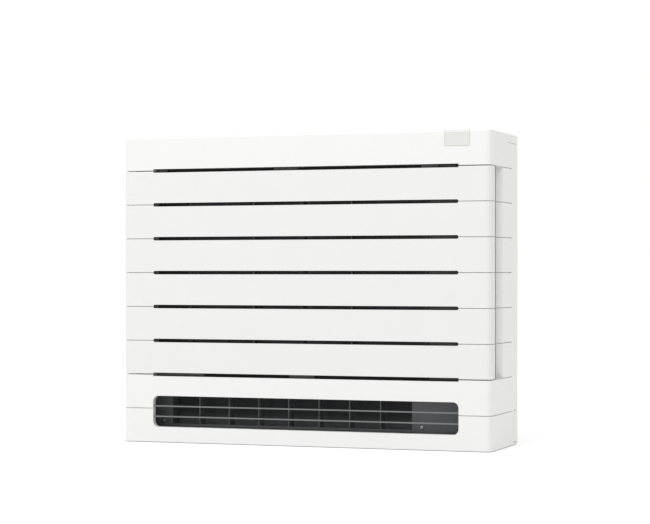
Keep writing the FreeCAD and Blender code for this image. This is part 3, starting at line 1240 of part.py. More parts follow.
def build_fan():
    """Bell mouth, turbo fan with swept blades, motor with its shaft, nut, bracket, mounts and bolts."""
    bell = new_body("bell_mouth")
    half = "frame_half_width - 0.5"
    pad(bell, "XZ", [rectangle(f"-({half})", half, "bell_low - fan_height", "bell_top - fan_height")],
        "bell_front", "bell_back")
    pocket(bell, "XZ", [("circle", "0", "0", "bell_radius + bell_flare")], "bell_front - 1", "bell_back + 1")
    turned(bell, [
        ("bell_front", "bell_radius + bell_flare + 1"),
        ("bell_back", "bell_radius + bell_flare + 1"),
        ("bell_back + bell_flare - fan_plate", "bell_lip_outer", "bell_flare - fan_plate + 1", 1),
        ("bell_back + bell_lip", "bell_lip_outer"),
        ("bell_back + bell_lip", "bell_radius"),
        ("bell_front + bell_flare", "bell_radius"),
        ("bell_front", "bell_radius + bell_flare", "bell_flare + 1", -1),
    ])
    place(bell, up="fan_height")

    fan = new_body("turbo_fan")
    turned(fan, [
        ("hub_nose_y", "shaft_radius + seat_gap"),
        ("hub_nose_y", "hub_cone_inner"),
        ("fan_hub_y", "hub_cone_outer"),
        ("fan_hub_y", "fan_radius"),
        ("fan_hub_y + fan_plate", "fan_radius"),
        ("fan_hub_y + fan_plate", "hub_cone_outer - fan_plate"),
        ("hub_nose_y + fan_plate", "hub_cone_inner - fan_plate"),
        ("hub_nose_y + fan_plate", "hub_boss_radius"),
        ("hub_nose_y + hub_boss_length", "hub_boss_radius"),
        ("hub_nose_y + hub_boss_length", "shaft_radius + seat_gap"),
    ])
    inner, outer = "blade_inner", "blade_outer"
    lead = "(blade_thickness / blade_inner * 180 / pi)"
    trail = "(blade_thickness / blade_outer * 180 / pi)"
    blade = [
        (inner, "0"),
        (f"{outer} * cos(blade_sweep)", f"{outer} * sin(blade_sweep)", "blade_curve", 1),
        (f"{outer} * cos(blade_sweep + {trail})", f"{outer} * sin(blade_sweep + {trail})"),
        (f"{inner} * cos({lead})", f"{inner} * sin({lead})", "blade_curve - blade_thickness", -1),
    ]
    first = pad(fan, "XZ", [blade], "fan_ring_y + fan_plate / 2", "fan_hub_y + 0.5")
    repeat(fan, first, "PartDesign::PolarPattern", "Y_Axis", "blade_count")
    turned(fan, [
        ("fan_front", "fan_inlet"),
        ("fan_ring_y - 6", "fan_inlet"),
        ("fan_ring_y + fan_plate", "fan_inlet + 9"),
        ("fan_ring_y + fan_plate", "fan_radius"),
        ("fan_ring_y", "fan_radius"),
        ("fan_ring_y", "fan_inlet + 9 + fan_plate / 2"),
        ("fan_ring_y - 6", "fan_inlet + fan_plate"),
        ("fan_front", "fan_inlet + fan_plate"),
    ])
    place(fan, up="fan_height")

    shaft = new_body("motor_shaft")
    pad(shaft, "XZ", [("circle", "0", "0", "shaft_radius")], "shaft_front", "shaft_rear")
    place(shaft, up="fan_height")

    nut = new_body("fan_nut")
    corner = "nut_flats / 2 / cos(30)"
    hexagon = []
    for step in range(6):
        hexagon.append((f"{corner} * cos({60 * step})", f"{corner} * sin({60 * step})"))
    pad(nut, "XZ", [hexagon, ("circle", "0", "0", "shaft_radius + seat_gap")],
        "hub_nose_y - nut_height", "hub_nose_y")
    place(nut, up="fan_height")

    motor = new_body("fan_motor")
    turned(motor, [
        ("motor_front - motor_nose", "shaft_radius + running_gap"),
        ("motor_front - motor_nose", "motor_nose_radius"),
        ("motor_front", "motor_nose_radius"),
        ("motor_front", "motor_radius - 6"),
        ("motor_front + 6", "motor_radius"),
        ("(motor_front + motor_rear) / 2 - 4", "motor_radius"),
        ("(motor_front + motor_rear) / 2 - 4", "motor_radius + motor_rim"),
        ("(motor_front + motor_rear) / 2", "motor_radius + motor_rim"),
        ("(motor_front + motor_rear) / 2", "motor_radius"),
        ("motor_rear", "motor_radius"),
        ("motor_rear", "shaft_radius + running_gap"),
    ])
    place(motor, up="fan_height")

    bracket = new_body("motor_bracket")
    spots = []
    for across in ("bolt_offset", "-bolt_offset"):
        for up in ("bolt_offset", "-bolt_offset"):
            spots.append((across, up))
    holes = [("circle", x, z, "bolt_radius + running_gap") for x, z in spots]
    plate = rectangle("-bracket_half", "bracket_half", "-bracket_half", "bracket_half", "corner_radius")
    pad(bracket, "XZ", [plate, ("circle", "0", "0", "bracket_hole")] + holes, "motor_rear", "bracket_back")
    place(bracket, up="fan_height")

    mounts = new_body("motor_mounts")
    rings = [("circle", x, z, "mount_radius") for x, z in spots]
    pad(mounts, "XZ", rings + holes, "bracket_back", "boss_top")
    place(mounts, up="fan_height")

    bolts = new_body("motor_screws")
    heads = [("circle", x, z, "bolt_head_radius") for x, z in spots]
    shanks = [("circle", x, z, "bolt_radius") for x, z in spots]
    pad(bolts, "XZ", heads, "motor_rear - bolt_head", "motor_rear")
    pad(bolts, "XZ", shanks, "motor_rear - 0.5", "motor_rear + bolt_length")
    place(bolts, up="fan_height")


def build_rear_frame():
    """Rear frame: a deep tray towards the wall, with a flange that closes the casing's rear edge."""
    body = new_body("rear_frame")
    half = "frame_half_width"
    pad(body, "XZ", [rectangle(f"-{half}", half, "floor_top", "frame_top")], "bell_back", "wall_face")
    reach = "half_width - casing_wall - flange_gap"
    back = "casing_back - flange_inset"
    pad(body, "XZ", [rectangle(f"-({reach})", reach, "floor_top + flange_gap",
                               "step_floor - casing_wall - flange_gap")], f"{back} - flange_thickness", back)
    inner = "frame_half_width - frame_wall"
    pocket(body, "XZ", [rectangle(f"-({inner})", inner, "floor_top + frame_wall", "frame_top - frame_wall")],
           "bell_back - 1", "frame_inner")
    # the pipes go out to the rear through a notch in the flange
    pocket(body, "XZ", [rectangle(f"-({reach}) - 5", f"-{half}", "liquid_low - pipe_notch_margin",
                                  "gas_low + pipe_notch_margin")],
           f"{back} - flange_thickness - 1", f"{back} + 1")
    # the upper duct comes through the top
    half = "upper_duct_half + duct_wall + 0.5"
    pocket(body, "XY", [rectangle(f"-({half})", half, "bell_back - 1", "opening_back + duct_wall + 0.5")],
           "frame_top - frame_wall - 1", "frame_top + 1")
    # posts for the motor
    posts, bores = [], []
    for across in ("bolt_offset", "-bolt_offset"):
        for up in ("fan_height + bolt_offset", "fan_height - bolt_offset"):
            posts.append(("circle", across, up, "mount_radius"))
            bores.append(("circle", across, up, "bolt_radius + running_gap"))
    pad(body, "XZ", posts, "boss_top", "frame_inner + 0.5")
    pocket(body, "XZ", bores, "boss_top - 1", "motor_rear + bolt_length + 2")
    # seat for the wall plate, openings to reach its screws, slots for its hooks
    half = "plate_half_width + plate_gap"
    pocket(body, "XZ", [rectangle(f"-({half})", half, "plate_low - plate_gap", "plate_top + plate_gap")],
           "plate_face", "wall_face + 1")
    loops = []
    for across in ("wall_bolt_x / 2", "-wall_bolt_x / 2"):
        for up in ("plate_middle - wall_bolt_z / 2", "plate_middle + wall_bolt_z / 2"):
            loops.append(("circle", across, up, "wall_access_radius"))
    room = "(hook_width / 2 + hook_slot_gap)"
    for left, right in both_sides(f"hook_x - {room}", f"hook_x + {room}"):
        loops.append(rectangle(left, right, "plate_top - plate_thickness - 2 - hook_slot_gap - 10",
                               "plate_top - 12 + hook_slot_gap"))
    pocket(body, "XZ", loops, "frame_inner - 1", "wall_face + 1")
    # sunk fields in the back, which leave flat ribs against the wall
    fields = []
    wide = "((2 * field_half - 2 * field_gap) / 3)"
    tall = "((field_top - field_low - field_gap) / 2)"
    for column in range(3):
        for line in range(2):
            left = f"-field_half + {column} * ({wide} + field_gap)"
            base = f"field_low + {line} * ({tall} + field_gap)"
            fields.append(rectangle(left, f"{left} + {wide}", base, f"{base} + {tall}", "field_radius"))
    pocket(body, "XZ", fields, "wall_face - field_depth", "wall_face + 1")


def build_wall_plate():
    """Steel plate that is screwed to the wall first; the rear frame hangs on its two hooks."""
    body = new_body("wall_plate")
    holes = []
    for across in ("wall_bolt_x / 2", "-wall_bolt_x / 2"):
        for up in ("plate_middle - wall_bolt_z / 2", "plate_middle + wall_bolt_z / 2"):
            holes.append(("circle", across, up, "wall_bolt_radius"))
    pad(body, "XZ", [rectangle("-plate_half_width", "plate_half_width", "plate_low", "plate_top")] + holes,
        "plate_face", "wall_face")
    hooks = []
    for left, right in both_sides("hook_x - hook_width / 2", "hook_x + hook_width / 2"):
        hooks.append(rectangle(left, right, "plate_top - plate_thickness - 12", "plate_top - 12"))
    pad(body, "XZ", hooks, "plate_face - hook_reach", "plate_face + 0.5")


def build_pipe_covers():
    """Covers over the pipe openings at the lower rear of both sides."""
    for name, (left, right) in zip(("right", "left"), both_sides("half_width - casing_wall", "half_width")):
        body = new_body("pipe_cover_" + name)
        pad(body, "YZ", [rectangle("knockout_front + knockout_gap", "casing_back",
                                   "knockout_low + knockout_gap", "knockout_top - knockout_gap")], left, right)


def build_electrics():
    """Electrical box on the right, its cover, board, terminals, and the button with its switch."""
    box = new_body("electrical_box")
    pad(box, "XZ", [rectangle("box_left", "box_right", "box_low", "box_top")], "box_front", "box_back")
    pocket(box, "XZ", [rectangle("box_left + box_wall", "box_right - box_wall", "box_low + box_wall",
                                 "box_top - box_wall")], "box_front - 1", "box_back - box_wall")
    low = "box_low + 14"
    posts = []
    for across in ("box_left + board_margin + 6", "box_right - board_margin - 6"):
        for up in (f"{low} + 6", f"{low} + board_height - 6"):
            posts.append(("circle", across, up, "standoff_radius"))
    pad(box, "XZ", posts, "board_back", "box_back - box_wall + 0.5")
    cover = new_body("electrical_cover")
    pad(cover, "XZ", [rectangle("box_left", "box_right", "box_low", "box_top")], "cover_front", "box_front")
    board = new_body("control_board")
    left, right = "box_left + board_margin", "box_right - board_margin"
    pad(board, "XZ", [rectangle(left, right, low, f"{low} + board_height")],
        "board_back - board_thickness", "board_back")
    parts = [rectangle(f"{left} + 6", f"{left} + 30", f"{low} + 20", f"{low} + 60"),
             rectangle(f"{left} + 38", f"{left} + 58", f"{low} + 20", f"{low} + 40"),
             rectangle(f"{left} + 10", f"{left} + 50", f"{low} + 110", f"{low} + 150"),
             ("circle", f"{left} + 20", f"{low} + 85", "9"),
             ("circle", f"{left} + 45", f"{low} + 85", "9")]
    pad(board, "XZ", parts, "board_back - board_thickness - 14", "board_back - board_thickness + 0.2")
    block = new_body("terminal_block")
    base = f"{low} + board_height + 12"
    pad(block, "XZ", [rectangle(f"{left} + 4", f"{right} - 4", base, f"{base} + terminal_height")],
        "box_back - box_wall - terminal_depth", "box_back - box_wall")
    bays = []
    for step in range(4):
        start = f"{left} + 7 + {step} * 14"
        bays.append(rectangle(start, f"{start} + 10", f"{base} + 8", f"{base} + terminal_height + 1"))
    pocket(block, "XZ", bays, "box_back - box_wall - terminal_depth - 1",
           "box_back - box_wall - terminal_depth + 8")
    button = new_body("on_off_button")
    pad(button, "XZ", [("circle", "button_x", "button_height", "button_radius")],
        "recess_face - button_proud", "recess_back + 0.5")
    pad(button, "XZ", [("circle", "button_x", "button_height", "button_flange_radius")],
        "recess_back", "recess_back + button_flange")
    switch = new_body("switch_block")
    half = "switch_width / 2"
    pad(switch, "XZ", [rectangle(f"button_x - {half}", f"button_x + {half}", f"button_height - {half}",
                                 f"button_height + {half}")], "cover_front - switch_height", "cover_front")


def build_case_screws():
    """Screws behind the panel and in the end walls of the lower duct."""
    body = new_body("case_screws")
    groups = []
    upper = []
    for across in ("screw_x", "-screw_x"):
        for up in ("screw_low", "screw_high"):
            upper.append((across, up))
    lower = [(across, "duct_screw_height") for across in about_mouth("duct_screw_x")]
    groups.append((upper, "recess_face"))
    groups.append((lower, "mouth_face"))
    for spots, face in groups:
        heads = [("circle", x, z, "screw_head_radius") for x, z in spots]
        shanks = [("circle", x, z, "screw_radius") for x, z in spots]
        pad(body, "XZ", heads, f"{face} - screw_head", face)
        pad(body, "XZ", shanks, f"{face} - 0.5", f"{face} + screw_length")


build_front_casing()
build_front_panel()
build_panel_fittings()
build_rear_cover()
build_base_plate()
build_display()
build_outlet_bars()
build_lower_duct()
build_damper()
build_upper_duct()
build_upper_flap()
build_louvers()
build_filters()
build_heat_exchanger()
build_fan()
build_rear_frame()
build_wall_plate()
build_pipe_covers()
build_electrics()
build_case_screws()
doc.recompute()

for item in doc.Objects:
    if "Invalid" in item.State or "Error" in item.State:
        raise RuntimeError(item.Label + " did not build")

os.makedirs("parts", exist_ok=True)
for piece in PIECES:
    shape = piece.Shape
    if shape.isNull() or not shape.isValid() or not shape.Solids:
        raise RuntimeError(piece.Label + " has no sound solid")
    shape.exportStep(os.path.join("parts", piece.Label + ".step"))
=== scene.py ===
import json
import math

import bpy
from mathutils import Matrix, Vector


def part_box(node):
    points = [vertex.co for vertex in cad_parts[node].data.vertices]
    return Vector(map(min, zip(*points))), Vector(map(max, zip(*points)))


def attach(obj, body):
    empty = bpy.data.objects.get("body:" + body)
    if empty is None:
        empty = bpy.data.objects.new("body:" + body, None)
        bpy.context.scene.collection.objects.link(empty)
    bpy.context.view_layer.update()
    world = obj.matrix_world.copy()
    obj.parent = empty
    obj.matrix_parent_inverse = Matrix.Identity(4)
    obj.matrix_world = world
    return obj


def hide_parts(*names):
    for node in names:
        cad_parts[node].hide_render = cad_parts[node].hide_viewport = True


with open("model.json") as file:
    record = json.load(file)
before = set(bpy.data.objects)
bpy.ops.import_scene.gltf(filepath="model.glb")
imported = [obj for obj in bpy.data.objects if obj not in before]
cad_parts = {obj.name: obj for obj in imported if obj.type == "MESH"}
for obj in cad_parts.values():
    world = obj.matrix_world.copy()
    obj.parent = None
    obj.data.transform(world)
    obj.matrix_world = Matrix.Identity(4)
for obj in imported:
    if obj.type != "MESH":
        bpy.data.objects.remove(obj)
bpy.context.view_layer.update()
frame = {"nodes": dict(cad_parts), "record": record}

MM = 0.001

# Values for the finishes

# cloudiness of moulded plastic and rolling lines of metal, in millimetres
FLOW_MM = 60
ROLLING_MM = 1.5
# how far the roughness of plastic and of metal strays from its middle value
PLASTIC_STRAY = 0.06
METAL_STRAY = 0.07
# painted shade in grooves: how near their walls are, how open a spot is where the shade is darkest and
# where it ends, and how many rays test that
GROOVE_REACH = 3 * MM
GROOVE_SHUT = 0.35
GROOVE_OPEN = 0.85
GROOVE_RAYS = 6
# shade of the finger recess: how far it reaches, how open a spot is where it is deepest, the share of the
# colour that it takes there, and how many rays test that
RECESS_REACH = 80 * MM
RECESS_SHUT = 0.95
RECESS_LOSS = 0.38
RECESS_RAYS = 32
# heights that the front panel spans
PANEL_BAND = [corner.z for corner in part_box("front_panel")]
# the dark sheet turns paler beyond the right filter, after a gap and over a short stretch
PALE_GAP = 0.5 * MM
PALE_STRETCH = 0.5 * MM
PALE_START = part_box("air_filter_right")[1].x + PALE_GAP
# heights between which the damper's foot turns paler with painted light
FOOT_TOP = 56 * MM
FOOT_LOW = 38 * MM
# sockets of a colour mix: the share of the second colour, the two colours, and the mixed colour
SHARE, FIRST, SECOND, MIXED = 0, 6, 7, 2
WHITE = (1, 1, 1, 1)

# Values for the screws

HEAD_SIDES = 32
HEAD_RADIUS = 4 * MM
HEAD_HEIGHT = 2 * MM
HEAD_ROUNDING = 1.2 * MM
# from the rim of the head in to the shank
SHANK_STEP = 2.1 * MM
SHANK_LENGTH = 6 * MM
# length, height and thickness of the blade that cuts the slot, how far its middle lies behind the head's
# face, and its turn in degrees
SLOT_BLADE = (4.2 * MM, 2.2 * MM, 0.9 * MM)
SLOT_MIDDLE = 0.4 * MM
SLOT_TURN = 20
# each screw is driven this many degrees further than the one before
SCREW_TURN = 25
PANEL_SCREWS_Z = (490.13 * MM, 160.03 * MM)
DUCT_SCREWS_X = (-315 * MM, 222 * MM)
DUCT_SCREWS_Y = -61 * MM
DUCT_SCREWS_Z = 38 * MM
# a face counts as front or back when its normal is more than this much along Y
FACING = 0.9

# Values for all new pieces

# edges that turn by less than this many degrees are shaded smooth
SMOOTH_ANGLE = 35

# Values for the filter's net and the painted shadow strip under the casing

# coarser than a real net, so that it shows from a step away
NET_MESH = 3 * MM
NET_BORDER = 8 * MM
# behind the front of the filter's frame, and from the upright threads back to the level ones
NET_DEPTH = 1.2 * MM
NET_WEAVE = 0.3 * MM
THREAD_RADIUS = 0.35 * MM
# in from the casing's side, clear of floor and casing, and the rounding of the casing's corners
STRIP_INSET = 0.4 * MM
STRIP_CLEAR = 0.05 * MM
CASING_CORNER = 12 * MM

# Values for floor, light and camera

# sides and places are in metres, the lamp's power is in watts
FLOOR_SIDE = 60
FLOOR_DROP = 0.4 * MM
FLOOR_CLOUD_MM = 400
FLOOR_TONES = (0.57, 0.59)
FLOOR_ROUGHNESS = 0.9
FLOOR_GLOW = 0.43
LAMP_SIDE = 3.0
LAMP_POWER = 98
LAMP_PLACE = (-0.9, -3.2, 4.0)
LAMP_AIM = (0, 0, 0.3)
# film width and lens in millimetres, then the place, and the tilt and turn in degrees
FILM_WIDTH = 36
LENS = 110.75
EYE_PLACE = (1.3239, -3.7156, 0.3333)
EYE_TILT = 90.304
EYE_TURN = 19.54
FARTHEST_SEEN = 100


# Finishes

def linear(hex_colour):
    """An sRGB hex colour as the linear red, green, blue and alpha that a shader takes."""
    channels = [int(hex_colour[i:i + 2], 16) / 255 for i in (1, 3, 5)]
    return tuple(c / 12.92 if c <= 0.04045 else ((c + 0.055) / 1.055) ** 2.4 for c in channels) + (1.0,)


def per_metre(millimetres):
    """The pattern scale that makes one cell as wide as a real size."""
    return 1000 / millimetres


def add(tree, kind, inputs, **settings):
    """Adds a shader node, sets it up, and sets or links its inputs."""
    node = tree.nodes.new("ShaderNode" + kind)
    for name, setting in settings.items():
        setattr(node, name, setting)
    for name, given in inputs.items():
        if isinstance(given, bpy.types.NodeSocket):
            tree.links.new(given, node.inputs[name])
        else:
            node.inputs[name].default_value = given
    return node


def new_finish(name):
    """A named material with no shader yet, and the coordinates of the piece itself."""
    finish = bpy.data.materials.new(name)
    finish.use_nodes = True
    tree = finish.node_tree
    tree.nodes.clear()
    place = add(tree, "TexCoord", {}).outputs["Object"]
    return finish, tree, place


def painted_groove_shade(tree, groove_shade):
    """The share of the colour that painted shade in the grooves leaves: all of it on an open face."""
    nook = add(tree, "AmbientOcclusion", {"Distance": GROOVE_REACH}, samples=GROOVE_RAYS, only_local=True)
    shade_share = add(tree, "MapRange", {"Value": nook.outputs["AO"], "From Min": GROOVE_SHUT,
                                  "From Max": GROOVE_OPEN, "To Min": 1 - groove_shade, "To Max": 1.0})
    return shade_share.outputs["Result"]


def recess_shade(tree, place, band):
    """The share of the colour that the shade of the finger recess leaves, within a band of heights."""
    low, high = band
    height = add(tree, "SeparateXYZ", {"Vector": place}).outputs["Z"]
    # 1 within the band and 0 outside: the height against the band's middle, give or take half its width
    inside = add(tree, "Math", {0: height, 1: (low + high) / 2, 2: (high - low) / 2}, operation="COMPARE")
    least = add(tree, "Math", {0: inside.outputs[0], 1: -RECESS_LOSS, 2: 1.0}, operation="MULTIPLY_ADD")
    hollow = add(tree, "AmbientOcclusion", {"Distance": RECESS_REACH}, samples=RECESS_RAYS)
    dim = add(tree, "MapRange", {"Value": hollow.outputs["AO"], "From Min": RECESS_SHUT, "From Max": 1.0,
                                 "To Min": least.outputs[0], "To Max": 1.0})
    return dim.outputs["Result"]


def moulded_plastic(name, colour, shade, roughness, grain_mm, relief_mm, ior=1.53, groove_shade=0.0, dim_band=None):
    """Moulded plastic: a fine even grain from the tool, a faint cloudiness where the melt flowed, and painted
    shade in its grooves. A dim band is heights where a shallow recess keeps some light out, as painted shade."""
    finish, tree, place = new_finish(name)
    flow = add(tree, "TexNoise", {"Vector": place, "Scale": per_metre(FLOW_MM), "Detail": 3.0})
    tint = add(tree, "Mix", {SHARE: flow.outputs["Fac"], FIRST: linear(colour), SECOND: linear(shade)},
               data_type="RGBA")
    grain = add(tree, "TexNoise", {"Vector": place, "Scale": per_metre(grain_mm), "Detail": 2.0})
    sheen = add(tree, "MapRange", {"Value": grain.outputs["Fac"], "To Min": roughness - PLASTIC_STRAY,
                                   "To Max": roughness + PLASTIC_STRAY})
    relief = add(tree, "Bump", {"Height": grain.outputs["Fac"], "Distance": relief_mm * MM, "Strength": 1.0})
    skin = tint.outputs[MIXED]
    # painted shade: darker in the grooves, and within the dim band beside the finger recess
    if groove_shade:
        remaining = painted_groove_shade(tree, groove_shade)
        if dim_band:
            dim = recess_shade(tree, place, dim_band)
            remaining = add(tree, "Math", {0: remaining, 1: dim}, operation="MINIMUM").outputs[0]
        shaded_skin = add(tree, "Mix", {SHARE: 1.0, FIRST: skin, SECOND: remaining}, data_type="RGBA",
                     blend_type="MULTIPLY")
        skin = shaded_skin.outputs[MIXED]
    shader = add(tree, "BsdfPrincipled", {"Base Color": skin, "Roughness": sheen.outputs["Result"],
                                          "IOR": ior, "Normal": relief.outputs["Normal"]})
    add(tree, "OutputMaterial", {"Surface": shader.outputs["BSDF"]})
    return finish


def sheet_metal(name, colour, shade, roughness, spangle_mm, relief_mm):
    """Bare or plated metal: patches of slightly different shine, and fine rolling lines."""
    finish, tree, place = new_finish(name)
    patches = add(tree, "TexVoronoi", {"Vector": place, "Scale": per_metre(spangle_mm)})
    drift = add(tree, "SeparateColor", {"Color": patches.outputs["Color"]})
    tint = add(tree, "Mix", {SHARE: drift.outputs["Red"], FIRST: linear(colour), SECOND: linear(shade)},
               data_type="RGBA")
    lines = add(tree, "TexNoise", {"Vector": place, "Scale": per_metre(ROLLING_MM), "Detail": 4.0})
    shine = add(tree, "MapRange", {"Value": drift.outputs["Green"], "To Min": roughness - METAL_STRAY,
                                   "To Max": roughness + METAL_STRAY})
    relief = add(tree, "Bump", {"Height": lines.outputs["Fac"], "Distance": relief_mm * MM, "Strength": 1.0})
    shader = add(tree, "BsdfPrincipled", {"Base Color": tint.outputs[MIXED], "Metallic": 1.0,
                                          "Roughness": shine.outputs["Result"],
                                          "Normal": relief.outputs["Normal"]})
    add(tree, "OutputMaterial", {"Surface": shader.outputs["BSDF"]})
    return finish


def fade_to(finish, colour, axis, start, end):
    """Lets a finish turn into another colour along one axis of the piece, between two places."""
    tree = finish.node_tree
    shader = tree.nodes["Principled BSDF"]
    skin = shader.inputs["Base Color"].links[0].from_socket
    place = add(tree, "TexCoord", {}).outputs["Object"]
    along = add(tree, "SeparateXYZ", {"Vector": place}).outputs[axis]
    share = add(tree, "MapRange", {"Value": along, "From Min": start, "From Max": end})
    tint = add(tree, "Mix", {SHARE: share.outputs["Result"], FIRST: skin, SECOND: linear(colour)},
               data_type="RGBA")
    tree.links.new(tint.outputs[MIXED], shader.inputs["Base Color"])


FINISHES = {
    # satin white with a breath of warmth, its grain too fine to see from a step away; painted shade darkens
    # its grooves and the finger recess
    "casing_white": moulded_plastic("satin_white_abs", "#DADAD8", "#D7D7D5", roughness=0.42, grain_mm=0.9,
                                    relief_mm=0.006, groove_shade=0.27, dim_band=PANEL_BAND),
    # the same kind of plastic as the casing, a touch greyer, with painted shade in its grooves
    "panel_white": moulded_plastic("panel_white_abs", "#D5D5D4", "#D2D2D1", roughness=0.45, grain_mm=0.9,
                                   relief_mm=0.006, groove_shade=0.35),
    # polished tile, pale grey, that hides the lamps behind it
    "window_pale": moulded_plastic("pale_polycarbonate", "#CECECA", "#CACAC6", roughness=0.14, grain_mm=2.0,
                                   relief_mm=0.001, ior=1.58),
    # black and without shine, so that it shows only as a thin dark line under the casing: the real base
    # plate, and a strip under the edge that is a painted shadow line
    "base_dark": moulded_plastic("matt_black_enamelled_steel", "#202020", "#1A1A1A", roughness=0.8,
                                 grain_mm=1.2, relief_mm=0.01, ior=1.4),
    # light grey with a dull skin, on the large parts at the back and inside
    "frame_grey": moulded_plastic("grey_polypropylene", "#B9BABB", "#AFB1B3", roughness=0.55, grain_mm=1.2,
                                  relief_mm=0.012, ior=1.49),
    # dark grey, and darker to the eye because little light gets into the outlet
    "duct_dark": moulded_plastic("charcoal_polystyrene", "#616364", "#57595A", roughness=0.5, grain_mm=1.2,
                                 relief_mm=0.012, ior=1.59),
    # bars, latches and catches, mid grey against the dark
    "bar_grey": moulded_plastic("mid_grey_abs", "#6C6D6D", "#646565", roughness=0.5, grain_mm=1.2,
                                relief_mm=0.008),
    # the sheet round the filters, the damper and the stays behind the slits, matt so that they swallow light
    "surround_dark": moulded_plastic("near_black_polystyrene", "#383A3B", "#323435", roughness=0.75,
                                     grain_mm=1.2, relief_mm=0.02, ior=1.46),
    # dark grey frame and net of the filters, almost black in the shade behind the slits
    "mesh_black": moulded_plastic("black_polypropylene_mesh", "#56575A", "#4D4E51", roughness=0.6,
                                  grain_mm=1.0, relief_mm=0.01, ior=1.49),
    # dull and sooty
    "cartridge_grey": moulded_plastic("carbon_grey_honeycomb", "#4E5356", "#45494C", roughness=0.7,
                                      grain_mm=1.5, relief_mm=0.02),
    # dark, so that the louvers stay back under the open flap
    "louver_grey": moulded_plastic("dark_grey_abs", "#55585A", "#4C4F51", roughness=0.5, grain_mm=1.2,
                                   relief_mm=0.01),
    # glass fibres at the skin make the fan's grey a little rough and cloudy
    "fan_grey": moulded_plastic("glass_filled_grey", "#7C8083", "#6F7376", roughness=0.6, grain_mm=1.0,
                                relief_mm=0.02),
    # baked paint on the motor's can, black with a soft shine
    "motor_black": moulded_plastic("black_stoved_paint", "#262626", "#1E1E1E", roughness=0.4, grain_mm=2.0,
                                   relief_mm=0.015, ior=1.5),
    # milky and a little yellow, on the small motors, the button and the terminals
    "motor_pale": moulded_plastic("natural_nylon", "#D9D6CC", "#D2CFC4", roughness=0.5, grain_mm=1.2,
                                  relief_mm=0.008),
    # zinc plate, its flat spangles hardly apart in shade
    "steel": sheet_metal("zinc_plated_sheet", "#C2C4C6", "#B8BBBD", roughness=0.4, spangle_mm=7,
                         relief_mm=0.004),
    # pins, shafts and screws, dulled a little so that a screw head in the dark stays a small grey dot
    "bright_steel": sheet_metal("dull_zinc_plate", "#B4B6B8", "#A4A6A9", roughness=0.45, spangle_mm=3,
                                relief_mm=0.002),
    # thin fins, pale and softly shiny under their coat
    "fin_aluminium": sheet_metal("coated_aluminium_fin", "#D4D7D9", "#C6CACD", roughness=0.35, spangle_mm=6,
                                 relief_mm=0.003),
    # pink-brown, with long soft highlights along the pipes
    "copper": sheet_metal("drawn_copper", "#D08A60", "#B9734C", roughness=0.32, spangle_mm=8,
                          relief_mm=0.003),
    # yellow, the shiniest of the metals
    "brass": sheet_metal("turned_brass", "#D6B25E", "#C9A352", roughness=0.25, spangle_mm=4,
                         relief_mm=0.003),
    # black, with hardly any shine
    "rubber": moulded_plastic("black_rubber", "#242424", "#1D1D1D", roughness=0.75, grain_mm=0.8,
                              relief_mm=0.03, ior=1.52),
    # green lacquer, shiny and a little wavy
    "board_green": moulded_plastic("green_solder_mask", "#2E6B40", "#245934", roughness=0.3, grain_mm=4.0,
                                   relief_mm=0.02, ior=1.55),
}

# the dark sheet is paler at its right end, in front of the electrics; painted light pales the damper's foot
fade_to(FINISHES["surround_dark"], "#787A7B", "X", PALE_START, PALE_START + PALE_STRETCH)
fade_to(FINISHES["surround_dark"], "#606263", "Z", FOOT_TOP, FOOT_LOW)

for part in frame["record"]["subparts"]:
    for slot in frame["nodes"][part["node"]].material_slots:
        slot.material = FINISHES[part["material_slot"]]


# How a piece is modelled

def pick(*pieces):
    """Selects these pieces alone, with the first one active, or nothing at all."""
    bpy.ops.object.select_all(action="DESELECT")
    for piece in pieces:
        piece.select_set(True)
    if pieces:
        bpy.context.view_layer.objects.active = pieces[0]


def finish_piece(piece, name, body, slot):
    """Settles a piece: its place goes into its mesh, it takes a finish, and it rides on a body."""
    pick(piece)
    bpy.ops.object.transform_apply(location=True, rotation=True, scale=True)
    bpy.ops.object.shade_smooth_by_angle(angle=math.radians(SMOOTH_ANGLE))
    piece.name = name
    piece.data.name = name
    piece.data.materials.clear()
    piece.data.materials.append(FINISHES[slot])
    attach(piece, body)
    return piece


def apply_modifiers(piece):
    """Makes the modifiers of a piece part of its mesh."""
    pick(piece)
    for modifier in list(piece.modifiers):
        bpy.ops.object.modifier_apply(modifier=modifier.name)


def choose_faces(piece, wanted):
    """Opens a piece in edit mode with only the wanted faces selected."""
    pick(piece)
    bpy.ops.object.mode_set(mode="EDIT")
    bpy.ops.mesh.select_mode(type="FACE")
    bpy.ops.mesh.select_all(action="DESELECT")
    bpy.ops.object.mode_set(mode="OBJECT")
    for face in piece.data.polygons:
        face.select = wanted(face)
    bpy.ops.object.mode_set(mode="EDIT")


# Screws

